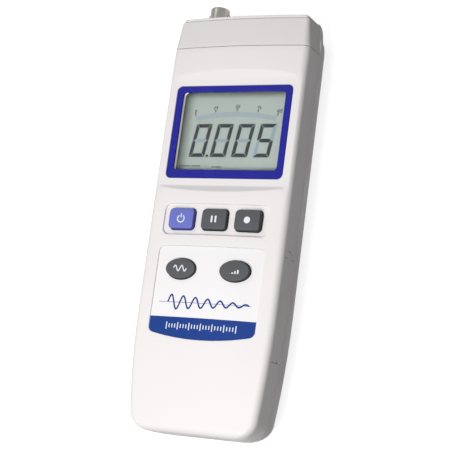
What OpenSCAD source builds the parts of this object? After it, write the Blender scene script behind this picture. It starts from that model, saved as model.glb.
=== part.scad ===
/* [Housing] */
// Length of the housing, without the sensor socket
case_l = 203; // [195:1:230]
// Width of the housing at its widest
case_w = 72.6; // [72:0.2:80]
// Thickness of the housing at the middle of its crowned face
case_t = 38; // [37:0.5:44]
// Height of the parting line of the two shells above the back
part_z = 21.5; // [21:0.5:23]
// Wall thickness of the shells
wall = 2.2; // [1.8:0.1:2.4]
// Height by which the face is crowned across the housing's width
crown_rise = 2.2; // [0.8:0.1:2.4]
// Radius of the long front edges
edge_r = 3.5; // [2.5:0.25:4]
// Radius of the two lower corners, seen from the front
corner_r = 9; // [6:0.5:12]
// Distance by which each side draws in towards the upper end
top_taper = 3.8; // [2:0.2:5]
// Length over which the sides draw in towards the upper end
top_taper_l = 12; // [8:0.5:15]
// Distance by which each side draws in towards the lower end
side_taper = 4.2; // [0:0.2:6]
// Share of the length over which the sides draw in towards the lower end
taper_share = 0.3; // [0.25:0.01:0.45]
// Distance by which the face falls at the lower end
low_drop = 1.8; // [0.5:0.1:2]
// Length over which the face falls towards the lower end
low_drop_l = 40; // [25:1:42]
// Distance by which the face falls at the upper end
high_drop = 1.6; // [0.5:0.1:2.4]
// Length over which the face falls towards the upper end
high_drop_l = 30; // [20:1:32]
// Inward lean of the rear sides at the lower end
lean_low = 6.5; // [5:0.5:8]
// Inward lean of the rear sides at the upper end
lean_high = 7; // [5:0.5:9]
// Radius between the rear sides and the back
back_r = 5; // [3:0.5:5]

/* [End cap] */
// Length of the end cap on the front
cap_l = 15.9; // [14:0.1:20]
// Length of the end cap on the back
cap_back_l = 8.5; // [6:0.5:10]
// Thickness of the wall that carries the socket
end_wall = 2.4; // [1.8:0.1:3]
// Depth of the step of the lip along the upper edge
lip_step = 0.5; // [0.2:0.1:1]
// Width of the lip along the upper edge
lip_w = 1.7; // [1:0.1:3]

/* [Display] */
// Distance of the window's centre from the upper end
window_from_top = 58; // [57:0.5:62]
// Depth of the flat display area below the crown
display_drop = 2.5; // [2.2:0.1:2.6]
// Width of the blue window frame beside the opening
frame_side = 3.5; // [2.8:0.1:3.8]
// Width of the blue window frame over and under the opening
frame_end = 3.65; // [3:0.05:4]
// Thickness of the blue window frame
frame_t = 1; // [0.6:0.1:1.2]
// Corner radius of the window frame
frame_r = 2.6; // [1:0.1:4]
// Width of the opening in the window frame
window_w = 54.5; // [50:0.5:56]
// Height of the opening in the window frame
window_h = 39.1; // [36:0.1:40]
// Corner radius of the opening in the window frame
window_r = 1.7; // [0.5:0.1:2.5]
// Distance of the opening's centre above the frame's centre
window_up = 0.6; // [0:0.1:1]
// Thickness of the clear window pane
pane_t = 1; // [0.6:0.1:1.2]
// Thickness of the display glass
glass_t = 2.2; // [1.6:0.1:2.6]

/* [Keys] */
// Distance of the key row below the window's centre
row_from_window = 44.5; // [44:0.1:45]
// Spacing of the keys in the row
row_pitch = 17.3; // [16.5:0.1:18]
// Width of a key in the row
key_w = 13; // [11:0.1:13.5]
// Height of a key in the row, seen from the front
key_h = 9.9; // [8:0.1:10.2]
// Corner radius of a key in the row
key_r = 1.8; // [0.8:0.1:3]
// Distance of the oval keys below the key row
oval_from_row = 24.2; // [23.5:0.1:25]
// Distance between the centres of the oval keys
oval_pitch = 28.1; // [26:0.1:29]
// Width of an oval key
oval_w = 15.4; // [13:0.1:16]
// Height of an oval key, seen from the front
oval_h = 9.9; // [8:0.1:10.2]
// Distance by which the key tops stand over the crown
key_proud = 0.8; // [0.4:0.1:1.2]
// Travel of a key
key_travel = 0.9; // [0.5:0.1:1]
// Gap round a key in its opening
key_gap = 0.35; // [0.3:0.05:0.5]

/* [Key panel and label] */
// Width of the recessed panel round the key row
panel_w = 55; // [54:0.5:57]
// Height of the recessed panel round the key row
panel_h = 15.2; // [14.5:0.1:15.6]
// Depth of the recessed panel below the crown
panel_depth = 1; // [0.6:0.1:1.1]
// Corner radius of the recessed panel
panel_r = 3.3; // [2:0.1:4]
// Width of the label
label_w = 55; // [54:0.5:56]
// Distance of the label's upper edge below the key row
label_from_row = 13.1; // [12.5:0.1:13.5]
// Height of the label at its middle
label_h = 44.2; // [41:0.1:45]
// Radius of the label's arched lower edge
label_arch_r = 119; // [90:1:200]
// Corner radius of the label
label_r = 3; // [2:0.1:4]
// Depth of the label's recess below the crown
label_depth = 0.8; // [0.6:0.1:1]
// Thickness of the label
label_t = 0.3; // [0.2:0.05:0.4]

/* [Board] */
// Thickness of the circuit board
board_t = 1.6; // [1.2:0.1:1.6]
// Width of the circuit board
board_w = 65; // [63:0.5:66]
// Distance of the board's lower edge below the oval keys
board_from_oval = 17.3; // [16.3:0.1:18.3]
// Distance of the board's upper edge from the upper end
board_top_gap = 15; // [14.5:0.5:16]
// Height of the display's elastomer strips
zebra_h = 2.6; // [2.4:0.1:2.8]

/* [Sensor socket] */
// Distance of the socket from the middle plane
socket_x = 21.8; // [18:0.2:22.4]
// Height of the socket's axis above the back
socket_z = 19.5; // [17.5:0.5:22]
// Length of the socket outside the housing
socket_out = 10.6; // [10:0.2:13]
// Outer radius of the socket's barrel
barrel_r = 4.83; // [4.8:0.01:4.86]
// Inner radius of the socket's barrel
barrel_in_r = 4.1; // [4:0.05:4.15]
// Radius of the socket's threaded stem
stem_r = 4.7; // [4.5:0.05:4.75]
// Length of the threaded stem behind the flange
stem_l = 8.6; // [8:0.1:9]

/* [Jacks on the left side] */
// Distance of the data jack below the key row
data_from_row = 29.5; // [29:0.5:30]
// Radius of the data jack's bore
data_r = 1.8; // [1.7:0.05:1.9]
// Distance of the power jack below the key row
power_from_row = 19.5; // [19:0.5:20]
// Radius of the power jack's bore
power_jack_r = 1.95; // [1.8:0.05:2.1]
// Distance of the reset button below the key row
reset_from_row = 11; // [10.5:0.5:11.5]
// Travel of the reset button
reset_travel = 0.5; // [0.3:0.1:0.6]
// Distance of the contrast trimmer below the key row
trimmer_from_row = 1.5; // [1:0.5:2]

/* [Side panel] */
// Distance of the side panel's lower end from the lower end
side_low = 36.5; // [34:0.5:40]
// Length of the side panel without the tongue at its upper end
side_l = 48.6; // [40:0.2:49]
// Length of the side panel's tongue
tongue_l = 3.4; // [1:0.2:4]
// Width of the side panel
side_w = 10.4; // [8.5:0.1:10.8]
// Thickness of the side panel
side_t = 1.7; // [1.2:0.1:2]

/* [Battery] */
// Length of the battery's case
battery_l = 46.4; // [45:0.1:47]
// Width of the battery
battery_w = 26.2; // [25.5:0.1:26.5]
// Thickness of the battery
battery_t = 17; // [16.5:0.1:17.5]
// Width of the battery door
door_w = 32.5; // [31:0.5:33]
// Length of the battery door
door_l = 61; // [59:0.5:62]
// Thickness of the battery door
door_t = 1.8; // [1.6:0.1:2]

/* [Tilt stand] */
// Width of the stand
stand_w = 42; // [36:0.5:43]
// Distance of the stand's free end from the lower end
stand_low = 88; // [86:1:100]
// Thickness of the stand
stand_t = 2.6; // [2.2:0.1:2.8]
// Distance of the stand's hinge from the upper end
hinge_from_top = 43; // [42:0.5:46]
// Radius of the stand's two hinge pins
pin_r = 1.5; // [1.2:0.05:1.6]

/* [Hidden] */

$fn = 48;
// Overrun of every cut past the face that it opens
over = 1;
// Gap between pieces that lie beside each other
gap = 0.15;
// Gap between pieces that are seated on each other
seat = 0.1;
// Height of the lower end's wall at the back
low_end_z = 15.5;
// Length over which the back falls to the lower end's wall
low_slope_l = 10;
// Height of the upper end's wall at the back
high_end_z = 4;
// Length over which the back rises to the upper end's wall
high_slope_l = 26;
// Draft of the front shell's sides
draft = 0.3;
// Setback of the upper end's front edge
top_edge_r = 1.2;
// Exponents of the rear outline's curves
lean_power = 1.5;
low_slope_power = 1.5;
high_slope_power = 2.2;
// Exponent of the sides' curve towards the upper end
top_power = 2.2;
// Segments of the rounded edges, the crown and the rear sides
arc_steps = 5;
crown_steps = 5;
side_steps = 4;
corner_steps = 4;
taper_steps = 6;
low_steps = 6;
oval_steps = 48;
// Shares of the cap's back length at which its outline is drawn
cap_shares = [0, 0.5, 0.75, 0.9, 1];
// Shares of the rise to the upper end at which the rear shell's outline is drawn
rise_shares = [0, 0.3, 0.6];

// Radius of the crown across the face
crown_r = (case_w * case_w / 4 + crown_rise * crown_rise) / 2 / crown_rise;
// Derived places, measured from the lower end of the housing
taper_l = taper_share * case_l;
seam_y = case_l - cap_l;
back_seam_y = case_l - cap_back_l;
high_y = case_l - high_drop_l;
display_z = case_t - display_drop;
window_y = case_l - window_from_top;
frame_y = window_y - window_up;
frame_w = window_w + 2 * frame_side;
frame_h = window_h + 2 * frame_end;
row_y = window_y - row_from_window;
oval_y = row_y - oval_from_row;
label_top = row_y - label_from_row;
label_low = label_top - label_h;
board_low = oval_y - board_from_oval;
data_y = row_y - data_from_row;
power_jack_y = row_y - power_from_row;
reset_y = row_y - reset_from_row;
trimmer_y = row_y - trimmer_from_row;
// Feet and slopes of the display area's two ramps
ramp_low_gap = 3.7;
ramp_high_gap = 5.2;
ramp_low_angle = 36;
ramp_high_angle = 27;
ramp_rise = case_t;
ramp_low_y = frame_y - frame_h / 2 - ramp_low_gap;
ramp_high_y = frame_y + frame_h / 2 + ramp_high_gap;
// Pane, well and pad of the window
pane_rim = 2;
well_rim = 0.8;
pad_floor = 1.3;
pane_z = display_z - frame_t - pane_t;
pad_z = pane_z - pad_floor;
pad_low_y = ramp_low_y - display_drop / tan(ramp_low_angle);
pad_high_y = ramp_high_y + display_drop / tan(ramp_high_angle);
// Display glass and its holder
glass_rim = 2.8;
glass_z = pad_z - seat - glass_t;
board_z = glass_z - zebra_h;
holder_t = 1.9;
zebra_w = 2.4;
zebra_inset = 1.6;
// Keys: seat of their flanges, flange size and height
pad_rim = 2.5;
flange_rim = 1;
flange_t = 1;
flange_z = case_t - wall - panel_w * panel_w / 8 / crown_r - flange_t - seat;
pad_key_z = flange_z + flange_t + seat;
key_top = case_t + key_proud;
key_edge = 0.5;
mat_t = 0.9;
mat_w = 44;
mat_rim = 5;
dome_r = 4.4;
dome_top_r = 3;
dome_gap = 0.3;
dome_top = flange_z - key_travel - dome_gap;
// Bosses and screws
boss_r = 2.8;
pilot_r = 1.05;
screw_r = 1;
screw_head_r = 2;
screw_head_t = 1.5;
board_screw_l = 6;
board_inset = 4.7;
boss_in = 4;
boss_low_y = board_low + boss_in;
boss_mid_y = ramp_low_y - boss_in;
boss_high_y = case_l - board_top_gap - boss_in;
case_boss_r = 3.4;
rear_boss_r = 4;
case_pilot_r = 1.4;
case_screw_r = 1.3;
case_head_r = 2.6;
case_head_t = 2.2;
case_bore_r = 2.9;
case_seat_z = 12;
case_web = 2.4;
case_screw_l = 16;
case_screw_x = 21.6;
case_low_y = 14;
// Gap between the upper case bosses and the display's holder
case_boss_gap = 1.35;
case_high_y = window_y + window_h / 2 + glass_rim + holder_t + case_boss_r + case_boss_gap;
board_clear = 0.5;
// Jack bodies on the left edge of the board
jack_h = 5.4;
jack_z = board_z + jack_h / 2;
jack_w = 6.4;
jack_l = 10.4;
bore_l = 12.6;
// Distance of the parts behind the left wall from its inner face
stand_off = 1.2;
collar_r = 2.3;
collar_gap = 0.2;
sunk = 0.4;
contact_pin_r = 0.65;
pin_in = 1.2;
button_r = 1.1;
rotor_r = 2;
rotor_slot_w = 0.6;
rotor_slot_d = 0.8;
shaft_r = 1.2;
running = 0.05;
switch_l = 5.2;
trimmer_l = 6;
// Tab of the end cap
tab_l = 3;
tab_w = 24;
tab_down = 4.8;
tab_z = case_t - tab_down;
// Socket
flange_r = 6.4;
socket_flange_t = 2;
lug_r = 0.95;
lug_reach = 0.8;
lug_back = 3.7;
insulator_r = 2.4;
insulator_short = 2.4;
contact_r = 0.7;
contact_hole_r = 0.47;
contact_short = 3;
nut_flats = 12.7;
nut_t = 2.4;
washer_r = 6.8;
washer_t = 0.6;
hole_gap = 0.2;
// Side panel, which stands on the parting line
side_z = part_z + gap;
notch_w = 1;
notch_h = 1.6;
notch_up = 4.3;
notch_z = part_z + notch_up;
side_tongue_w = 3.4;
side_tongue_up = 5.9;
side_tongue_z = part_z + side_tongue_up;
ledge = 1;
hook_w = 3;
hook_gap = 0.3;
// Battery bay
door_over = 0.6;
door_y = low_slope_l - door_over;
tongue = 1.2;
tongue_t = 0.8;
bay_wall = 1.4;
bay_gap = 0.5;
bay_w = battery_w + 2 * bay_gap;
bay_low_ledge = 2.8;
bay_high_ledge = 3.4;
bay_y = door_y + bay_low_ledge;
bay_l = door_l - bay_low_ledge - bay_high_ledge;
bay_top = door_t + 2 * seat + battery_t + bay_gap;
terminal_r = 2.9;
terminal_h = 2.1;
terminal_pitch = 12.7;
snap_t = 3.2;
snap_in = 1;
battery_y = bay_y + 2 * gap;
snap_y = battery_y + battery_l + terminal_h + seat;
lead_r = 0.7;
thumb_l = 12;
thumb_w = 14;
// Stand
hinge_y = case_l - hinge_from_top;
hinge_z = 2.2;
knuckle_r = 1.9;
pocket_gap = 0.4;
pocket_depth = 4.4;
pocket_floor = 1.4;
pin_l = 2.4;
nail_w = 14;
nail_l = 3.6;
stand_l = hinge_y - stand_low;
stand_slot_w = 16;
// Share of the stand's length that its slot takes
slot_length_share = 0.47;
stand_slot_l = slot_length_share * stand_l;
// Share of a screw head's radius that its cross recess takes
slot_share = 0.62;
// Share of that radius that the recess's arms are wide
arm_share = 0.25;
groove_w = 1.1;
groove_d = 0.45;
groove_pitch = 2.8;
groove_n = 4;
// Reset button's length inside its switch
button_l = 2.2;
// Parts on the back of the board
chip_w = 12;
chip_t = 1.5;
chip_x = 2;
chip_from_top = 78;
chip_y = case_l - chip_from_top;
amp_w = 5;
amp_l = 6;
amp_x = -14;
amp_from_top = 38;
amp_y = case_l - amp_from_top;
amp_pitch = 9;
can_r = 3.2;
can_h = 9;
can_x = 15;
can_from_top = 52;
can_y = case_l - can_from_top;
can_pitch = 9;
crystal_w = 4;
crystal_l = 10;
crystal_h = 3.5;
crystal_r = 1.7;

// Colours
shell_color = [0.91, 0.9, 0.9];
cap_color = [0.84, 0.83, 0.82];
blue = [0.13, 0.14, 0.55];
key_blue = [0.36, 0.4, 0.76];
key_grey = [0.33, 0.34, 0.36];
rubber = [0.2, 0.2, 0.22];
glass_color = [0.68, 0.75, 0.68];
pane_color = [0.8, 0.88, 0.95, 0.35];
label_color = [0.95, 0.95, 0.95];
board_color = [0.05, 0.35, 0.18];
chip_color = [0.1, 0.1, 0.11];
nickel = [0.75, 0.74, 0.7];
brass = [0.83, 0.68, 0.3];
steel = [0.6, 0.6, 0.62];
white = [0.95, 0.95, 0.93];

// Setback of a rounded end of radius r at the distance d from it
function arc_drop(r, d) = d >= r ? 0 : r - sqrt(r * r - (r - d) * (r - d));

// Drop of the crowned face at the distance x from the middle
function crown(x) = crown_r - sqrt(crown_r * crown_r - x * x);

// Half width of the housing at the parting line
function half_w(y) = case_w / 2
    - side_taper * pow(max(0, taper_l - y) / taper_l, 2)
    - top_taper * pow(max(0, y - case_l + top_taper_l) / top_taper_l, top_power)
    - arc_drop(corner_r, y);

// Height of the face on the middle plane
function face_z(y) = case_t
    - low_drop * pow(max(0, low_drop_l - y) / low_drop_l, 2)
    - high_drop * pow(max(0, y - high_y) / high_drop_l, 2)
    - arc_drop(edge_r, y) - arc_drop(top_edge_r, case_l - y);

// Height of the back
function back_z(y) = low_end_z * pow(max(0, low_slope_l - y) / low_slope_l, low_slope_power)
    + high_end_z * pow(max(0, y - case_l + high_slope_l) / high_slope_l, high_slope_power);

// Half width of the rear shell at the height z
function rear_x(y, z) = half_w(y)
    - (lean_low + (lean_high - lean_low) * y / case_l) * pow((part_z - z) / part_z, lean_power);

// Outline of the front half at the station y, drawn in by the inset, where it runs past the parting plane
function front_ring(y, inset) = let (
    w = half_w(y) - inset,
    foot = inset > 0 ? part_z - over : part_z,
    top = face_z(y) - inset,
    r = edge_r - inset / 2,
    x_arc = w - draft - r,
    z_arc = top - crown(x_arc) - r,
    side = [for (a = [0 : 90 / arc_steps : 90]) [x_arc + r * cos(a), z_arc + r * sin(a)]],
    crest = [for (k = [crown_steps - 1 : -1 : 0]) let (x = x_arc * k / crown_steps) [x, top - crown(x)]],
    half = concat([[w, foot]], side, crest))
    concat(half, [for (k = [len(half) - 2 : -1 : 0]) [-half[k][0], half[k][1]]]);

// Outline of the rear half at the station y, drawn in by the inset, where it runs past the parting plane
function rear_ring(y, inset) = let (
    low = back_z(y) + inset,
    z_arc = low + back_r,
    x_arc = rear_x(y, z_arc) - inset,
    x_low = rear_x(y, low) - inset,
    side = [for (k = [0 : side_steps]) let (z = part_z + (z_arc - part_z) * k / side_steps)
        [rear_x(y, z) - inset, z]],
    bend = [for (k = [1 : corner_steps]) let (u = k / corner_steps, v = 1 - u)
        [v * v * x_arc + 2 * u * v * x_low + u * u * (x_low - back_r), v * v * z_arc + (1 - v * v) * low]],
    brim = inset > 0 ? [[rear_x(y, part_z) - inset, part_z + over]] : [],
    half = concat(brim, side, bend))
    concat([for (p = half) [-p[0], p[1]]], [for (k = [len(half) - 1 : -1 : 0]) half[k]]);

// Stations along the housing
low_stations = [for (a = [0 : 90 / low_steps : 90]) corner_r * (1 - cos(a))];
taper_stations = [for (k = [1 : taper_steps]) corner_r + (taper_l - corner_r) * k / taper_steps];
front_stations = concat(low_stations, taper_stations, [high_y, (high_y + seam_y) / 2, seam_y]);
rear_start = case_l - high_slope_l;
rear_stations = concat(low_stations, taper_stations,
    [for (s = rise_shares) rear_start + high_slope_l * s], [back_seam_y]);
cap_back_stations = [for (s = cap_shares) back_seam_y + cap_back_l * s];
cap_stations = concat([seam_y], cap_back_stations);

// Stations of the space inside, which starts one wall from the lower end
function inside(ys, last) = concat([wall], [for (y = ys) if (y > wall + over && y < last - over) y], [last]);

// Solid through a row of outlines
module loft(ys, rings) {
    n = len(rings[0]);
    m = len(ys);
    points = [for (k = [0 : m - 1]) for (p = rings[k]) [p[0], ys[k], p[1]]];
    sides = [for (k = [0 : m - 2]) for (j = [0 : n - 1]) let (i = (j + 1) % n)
        each [[k * n + j, k * n + i, (k + 1) * n + i], [k * n + j, (k + 1) * n + i, (k + 1) * n + j]]];
    ends = [[for (j = [n - 1 : -1 : 0]) j], [for (j = [0 : n - 1]) (m - 1) * n + j]];
    polyhedron(points, concat(sides, ends));
}

module front_loft(ys, inset) {
    loft(ys, [for (y = ys) front_ring(y, inset)]);
}

module rear_loft(ys, inset) {
    loft(ys, [for (y = ys) rear_ring(y, inset)]);
}

// Places a piece, drawn from the lower end, in the frame of the whole
module placed() {
    translate([0, -(case_l + socket_out) / 2, 0]) children();
}

module round_rect(w, h, r) {
    square([w - 2 * r, h], center = true);
    square([w, h - 2 * r], center = true);
    for (x = [-1, 1]) for (y = [-1, 1]) translate([x * (w / 2 - r), y * (h / 2 - r)]) circle(r);
}

// Upright block, centred across and along, with rounded corners
module slab(w, h, r, z, t, x = 0, y = 0) {
    translate([x, y, z]) linear_extrude(t) round_rect(w, h, r);
}

// Upright block without rounded corners
module block(w, l, t, x, y, z) {
    translate([x - w / 2, y, z]) cube([w, l, t]);
}

module oval(w, h) {
    polygon([for (k = [1 : oval_steps]) let (a = 360 * k / oval_steps) [w / 2 * cos(a), h / 2 * sin(a)]]);
}

// Cylinder along the length, from y to y + l
module rod_y(r, x, y, z, l) {
    translate([x, y, z]) rotate([-90, 0, 0]) cylinder(r = r, h = l);
}

// Cylinder across the housing, from x to x + l
module rod_x(r, x, y, z, l) {
    translate([x, y, z]) rotate([0, 90, 0]) cylinder(r = r, h = l);
}

// Space under the crowned face, lowered by the depth
module under_crown(depth) {
    translate([0, -over, case_t - crown_r]) rotate([-90, 0, 0])
        cylinder(r = crown_r - depth, h = case_l + 2 * over, $fn = 720);
}

module label_outline(grow) {
    intersection() {
        translate([0, (label_top + label_low) / 2])
            round_rect(label_w + 2 * grow, label_top - label_low + 2 * grow, label_r);
        translate([0, label_low + label_arch_r]) circle(label_arch_r + grow, $fn = 360);
    }
}

board_xy = [for (x = [-1, 1]) for (y = [boss_low_y, boss_mid_y, boss_high_y])
    [x * (board_w / 2 - board_inset), y]];
case_xy = [for (x = [-1, 1]) for (y = [case_low_y, case_high_y]) [x * case_screw_x, y]];
row_x = [-row_pitch, 0, row_pitch];
oval_x = [-oval_pitch / 2, oval_pitch / 2];

// Opening for the side panel through the right wall, down to the parting line
module side_opening() {
    translate([half_w(side_low) - 2 * wall, side_low - gap, part_z - over])
        cube([case_w, side_l + 2 * gap, over + side_w + 2 * gap]);
    translate([half_w(side_low) - 2 * wall, side_low, side_tongue_z - side_tongue_w / 2 - gap])
        cube([case_w, side_l + tongue_l + gap, side_tongue_w + 2 * gap]);
}

module front_case() {
    color(shell_color) placed() difference() {
        union() {
            difference() {
                front_loft(front_stations, 0);
                front_loft(inside(front_stations, seam_y + over), wall);
            }
            intersection() {
                front_loft(front_stations, wall / 2);
                union() {
                    block(case_w, pad_high_y - pad_low_y, case_t, 0, pad_low_y, pad_z);
                    slab(panel_w, panel_h, panel_r, pad_key_z, case_t, 0, row_y);
                    slab(oval_pitch + oval_w + 2 * pad_rim, oval_h + 2 * pad_rim, panel_r, pad_key_z, case_t,
                        0, oval_y);
                    for (p = board_xy) translate([p[0], p[1], board_z]) cylinder(r = boss_r, h = case_t);
                    for (p = case_xy) translate([p[0], p[1], part_z]) cylinder(r = case_boss_r, h = case_t);
                }
            }
            for (p = case_xy) translate([p[0], p[1], case_seat_z + case_web + seat])
                cylinder(r = case_boss_r, h = case_t - case_seat_z - case_web - 2 * wall);
        }
        // Flat display area with its two ramps
        translate([-case_w, 0, 0]) rotate([90, 0, 90]) linear_extrude(2 * case_w) polygon([
            [ramp_low_y, display_z],
            [ramp_high_y, display_z],
            [ramp_high_y + ramp_rise / tan(ramp_high_angle), display_z + ramp_rise],
            [ramp_low_y - ramp_rise / tan(ramp_low_angle), display_z + ramp_rise]]);
        slab(frame_w + 2 * gap, frame_h + 2 * gap, frame_r + gap, display_z - frame_t, over + frame_t,
            0, frame_y);
        slab(window_w + 2 * pane_rim + 2 * gap, window_h + 2 * pane_rim + 2 * gap, frame_r, pane_z, case_t,
            0, window_y);
        slab(window_w + 2 * well_rim, window_h + 2 * well_rim, frame_r, part_z, case_t, 0, window_y);
        // Recessed panel of the key row, and the label's recess
        difference() {
            slab(panel_w, panel_h, panel_r, part_z, case_t, 0, row_y);
            under_crown(panel_depth);
        }
        difference() {
            translate([0, 0, part_z]) linear_extrude(case_t) label_outline(gap);
            under_crown(label_depth);
        }
        for (x = row_x)
            slab(key_w + 2 * key_gap, key_h + 2 * key_gap, key_r + key_gap, part_z, case_t, x, row_y);
        for (x = oval_x) translate([x, oval_y, part_z]) linear_extrude(case_t)
            oval(oval_w + 2 * key_gap, oval_h + 2 * key_gap);
        for (p = board_xy) translate([p[0], p[1], board_z - over])
            cylinder(r = pilot_r, h = board_screw_l + over);
        for (p = case_xy) translate([p[0], p[1], case_seat_z])
            cylinder(r = case_pilot_r, h = case_screw_l + over);
        side_opening();
        rod_x(collar_r + collar_gap, -case_w, data_y, jack_z, case_w / 2 + 2 * wall);
        rod_x(collar_r + collar_gap, -case_w, power_jack_y, jack_z, case_w / 2 + 2 * wall);
        rod_x(button_r + collar_gap, -case_w, reset_y, jack_z, case_w / 2 + 2 * wall);
        rod_x(rotor_r + collar_gap, -case_w, trimmer_y, jack_z, case_w / 2 + 2 * wall);
    }
}

module rear_case() {
    color(shell_color) placed() difference() {
        union() {
            difference() {
                rear_loft(rear_stations, 0);
                rear_loft(inside(rear_stations, back_seam_y + over), wall);
            }
            intersection() {
                rear_loft(rear_stations, wall / 2);
                union() {
                    block(bay_w + 2 * bay_wall, bay_l + 2 * bay_wall, bay_top + bay_wall,
                        0, bay_y - bay_wall, 0);
                    block(door_w + 2 * tongue + 2 * wall, door_l + 2 * wall, door_t + wall, 0, door_y, 0);
                    block(stand_w + 2 * pocket_gap + 2 * pin_l + 2 * wall,
                        nail_l + stand_l + knuckle_r + 2 * pocket_gap + 2 * wall,
                        pocket_depth + pocket_floor, 0, hinge_y - stand_l - nail_l - wall, 0);
                    for (p = case_xy) translate([p[0], p[1], 0])
                        cylinder(r = rear_boss_r, h = case_seat_z + case_web);
                }
            }
        }
        // Battery bay and the door's guides
        block(bay_w, bay_l, bay_top + over, 0, bay_y, -over);
        block(door_w + 2 * gap, door_l + door_y + over + gap, door_t + seat + over, 0, -over, -over);
        block(door_w + 2 * tongue + 2 * gap, door_l + over + door_y + gap, tongue_t + 2 * seat, 0, -over,
            door_t - tongue_t - seat);
        for (x = [-1, 1]) translate([x * terminal_pitch / 2, snap_y + snap_t / 2, bay_top - over])
            cylinder(r = lead_r + gap, h = case_t);
        // Pocket of the stand, its hinge and its nail notch
        block(stand_w + 2 * pocket_gap, stand_l + knuckle_r + 2 * pocket_gap, pocket_depth + over,
            0, hinge_y - stand_l - pocket_gap, -over);
        block(nail_w, nail_l + over, pocket_depth, 0, hinge_y - stand_l - nail_l, -over);
        rod_x(pin_r + running, -stand_w / 2 - pocket_gap - pin_l, hinge_y, hinge_z,
            stand_w + 2 * pocket_gap + 2 * pin_l);
        // Screw bores
        for (p = case_xy) translate([p[0], p[1], -over]) cylinder(r = case_bore_r, h = case_seat_z + over);
        for (p = case_xy) translate([p[0], p[1], -over]) cylinder(r = case_screw_r + gap, h = case_t);
    }
}

module end_cap() {
    color(cap_color) placed() difference() {
        union() {
            difference() {
                union() {
                    front_loft(cap_stations, 0);
                    rear_loft(cap_back_stations, 0);
                }
                front_loft([seam_y - over, back_seam_y, case_l - end_wall], wall);
                rear_loft([back_seam_y - over, back_seam_y + over, case_l - end_wall], wall);
            }
            // Tab that slips under the front shell
            intersection() {
                front_loft([seam_y - tab_l, seam_y + tab_l], wall + gap);
                block(tab_w, 2 * tab_l, case_t, 0, seam_y - tab_l, tab_z);
            }
            intersection() {
                front_loft(cap_stations, wall / 2);
                block(tab_w, tab_l, case_t, 0, seam_y, tab_z);
            }
        }
        // Step of the lip along the upper edge
        difference() {
            block(2 * case_w, lip_w + over, case_t, 0, case_l - lip_w, part_z);
            translate([0, 0, -lip_step]) front_loft(cap_stations, 0);
        }
        rod_y(stem_r + hole_gap, -socket_x, case_l - 2 * wall - end_wall, socket_z, 4 * wall);
    }
}

module window_frame() {
    color(blue) placed() difference() {
        slab(frame_w, frame_h, frame_r, display_z - frame_t, frame_t, 0, frame_y);
        slab(window_w, window_h, window_r, display_z - frame_t - over, frame_t + 2 * over, 0, window_y);
    }
}

module window_pane() {
    color(pane_color) placed()
        slab(window_w + 2 * pane_rim, window_h + 2 * pane_rim, frame_r, pane_z, pane_t, 0, window_y);
}

module display_glass() {
    color(glass_color) placed()
        block(window_w + 2 * glass_rim, window_h + 2 * glass_rim, glass_t, 0,
            window_y - window_h / 2 - glass_rim, glass_z);
}

module display_holder() {
    w = window_w + 2 * glass_rim;
    h = window_h + 2 * glass_rim;
    color(white) placed() difference() {
        block(w + 2 * holder_t, h + 2 * holder_t, glass_z + glass_t - board_z,
            0, window_y - h / 2 - holder_t, board_z);
        block(w + 2 * gap, h + 2 * gap, case_t, 0, window_y - h / 2 - gap, board_z - over);
    }
}

module zebra_strips() {
    w = window_w + 2 * glass_rim;
    h = window_h + 2 * glass_rim;
    color(rubber) placed() for (s = [0, 1])
        block(w - 4 * zebra_inset, zebra_w, zebra_h, 0,
            window_y - h / 2 + zebra_inset + s * (h - 2 * zebra_inset - zebra_w), board_z);
}

module circuit_board() {
    color(board_color) placed() difference() {
        block(board_w, case_l - board_top_gap - board_low, board_t, 0, board_low, board_z - board_t);
        for (p = board_xy) translate([p[0], p[1], board_z - board_t - over])
            cylinder(r = screw_r + gap, h = board_t + 2 * over);
        for (p = case_xy) translate([p[0], p[1], board_z - board_t - over])
            cylinder(r = case_boss_r + board_clear, h = board_t + 2 * over);
    }
}

module processor() {
    color(chip_color) placed() block(chip_w, chip_w, chip_t, chip_x, chip_y, board_z - board_t - chip_t);
}

module amplifier_chips() {
    color(chip_color) placed() for (k = [0, 1])
        block(amp_w, amp_l, chip_t, amp_x + k * amp_pitch, amp_y, board_z - board_t - chip_t);
}

module capacitors() {
    color(steel) placed() for (k = [0, 1])
        translate([can_x, can_y + k * can_pitch, board_z - board_t - can_h]) cylinder(r = can_r, h = can_h);
}

module crystal() {
    color(nickel) placed() slab(crystal_w, crystal_l, crystal_r, board_z - board_t - crystal_h, crystal_h,
        chip_x, chip_y + chip_w + crystal_l);
}

module board_screws() {
    color(steel) placed() for (p = board_xy) translate([p[0], p[1], board_z - board_t]) {
        cylinder(r = screw_r, h = board_screw_l);
        difference() {
            translate([0, 0, -screw_head_t]) cylinder(r = screw_head_r, h = screw_head_t);
            cross_slot(screw_head_r, -screw_head_t);
        }
    }
}

// Cross recess in a screw head whose outer face lies at z
module cross_slot(r, z) {
    for (a = [0, 90]) rotate(a) translate([-r * slot_share, -r * arm_share / 2, z - over])
        cube([2 * r * slot_share, r * arm_share, over + r * slot_share / 2]);
}

module keypad_mat() {
    color(rubber) placed() {
        block(mat_w, row_y - oval_y + oval_h / 2 + key_h / 2 + 2 * mat_rim, mat_t,
            0, oval_y - oval_h / 2 - mat_rim, board_z);
        for (x = row_x) dome(x, row_y);
        for (x = oval_x) dome(x, oval_y);
    }
}

// Dome of the mat under one key
module dome(x, y) {
    translate([x, y, board_z + mat_t / 2])
        cylinder(r1 = dome_r, r2 = dome_top_r, h = dome_top - board_z - mat_t / 2);
}

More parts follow.
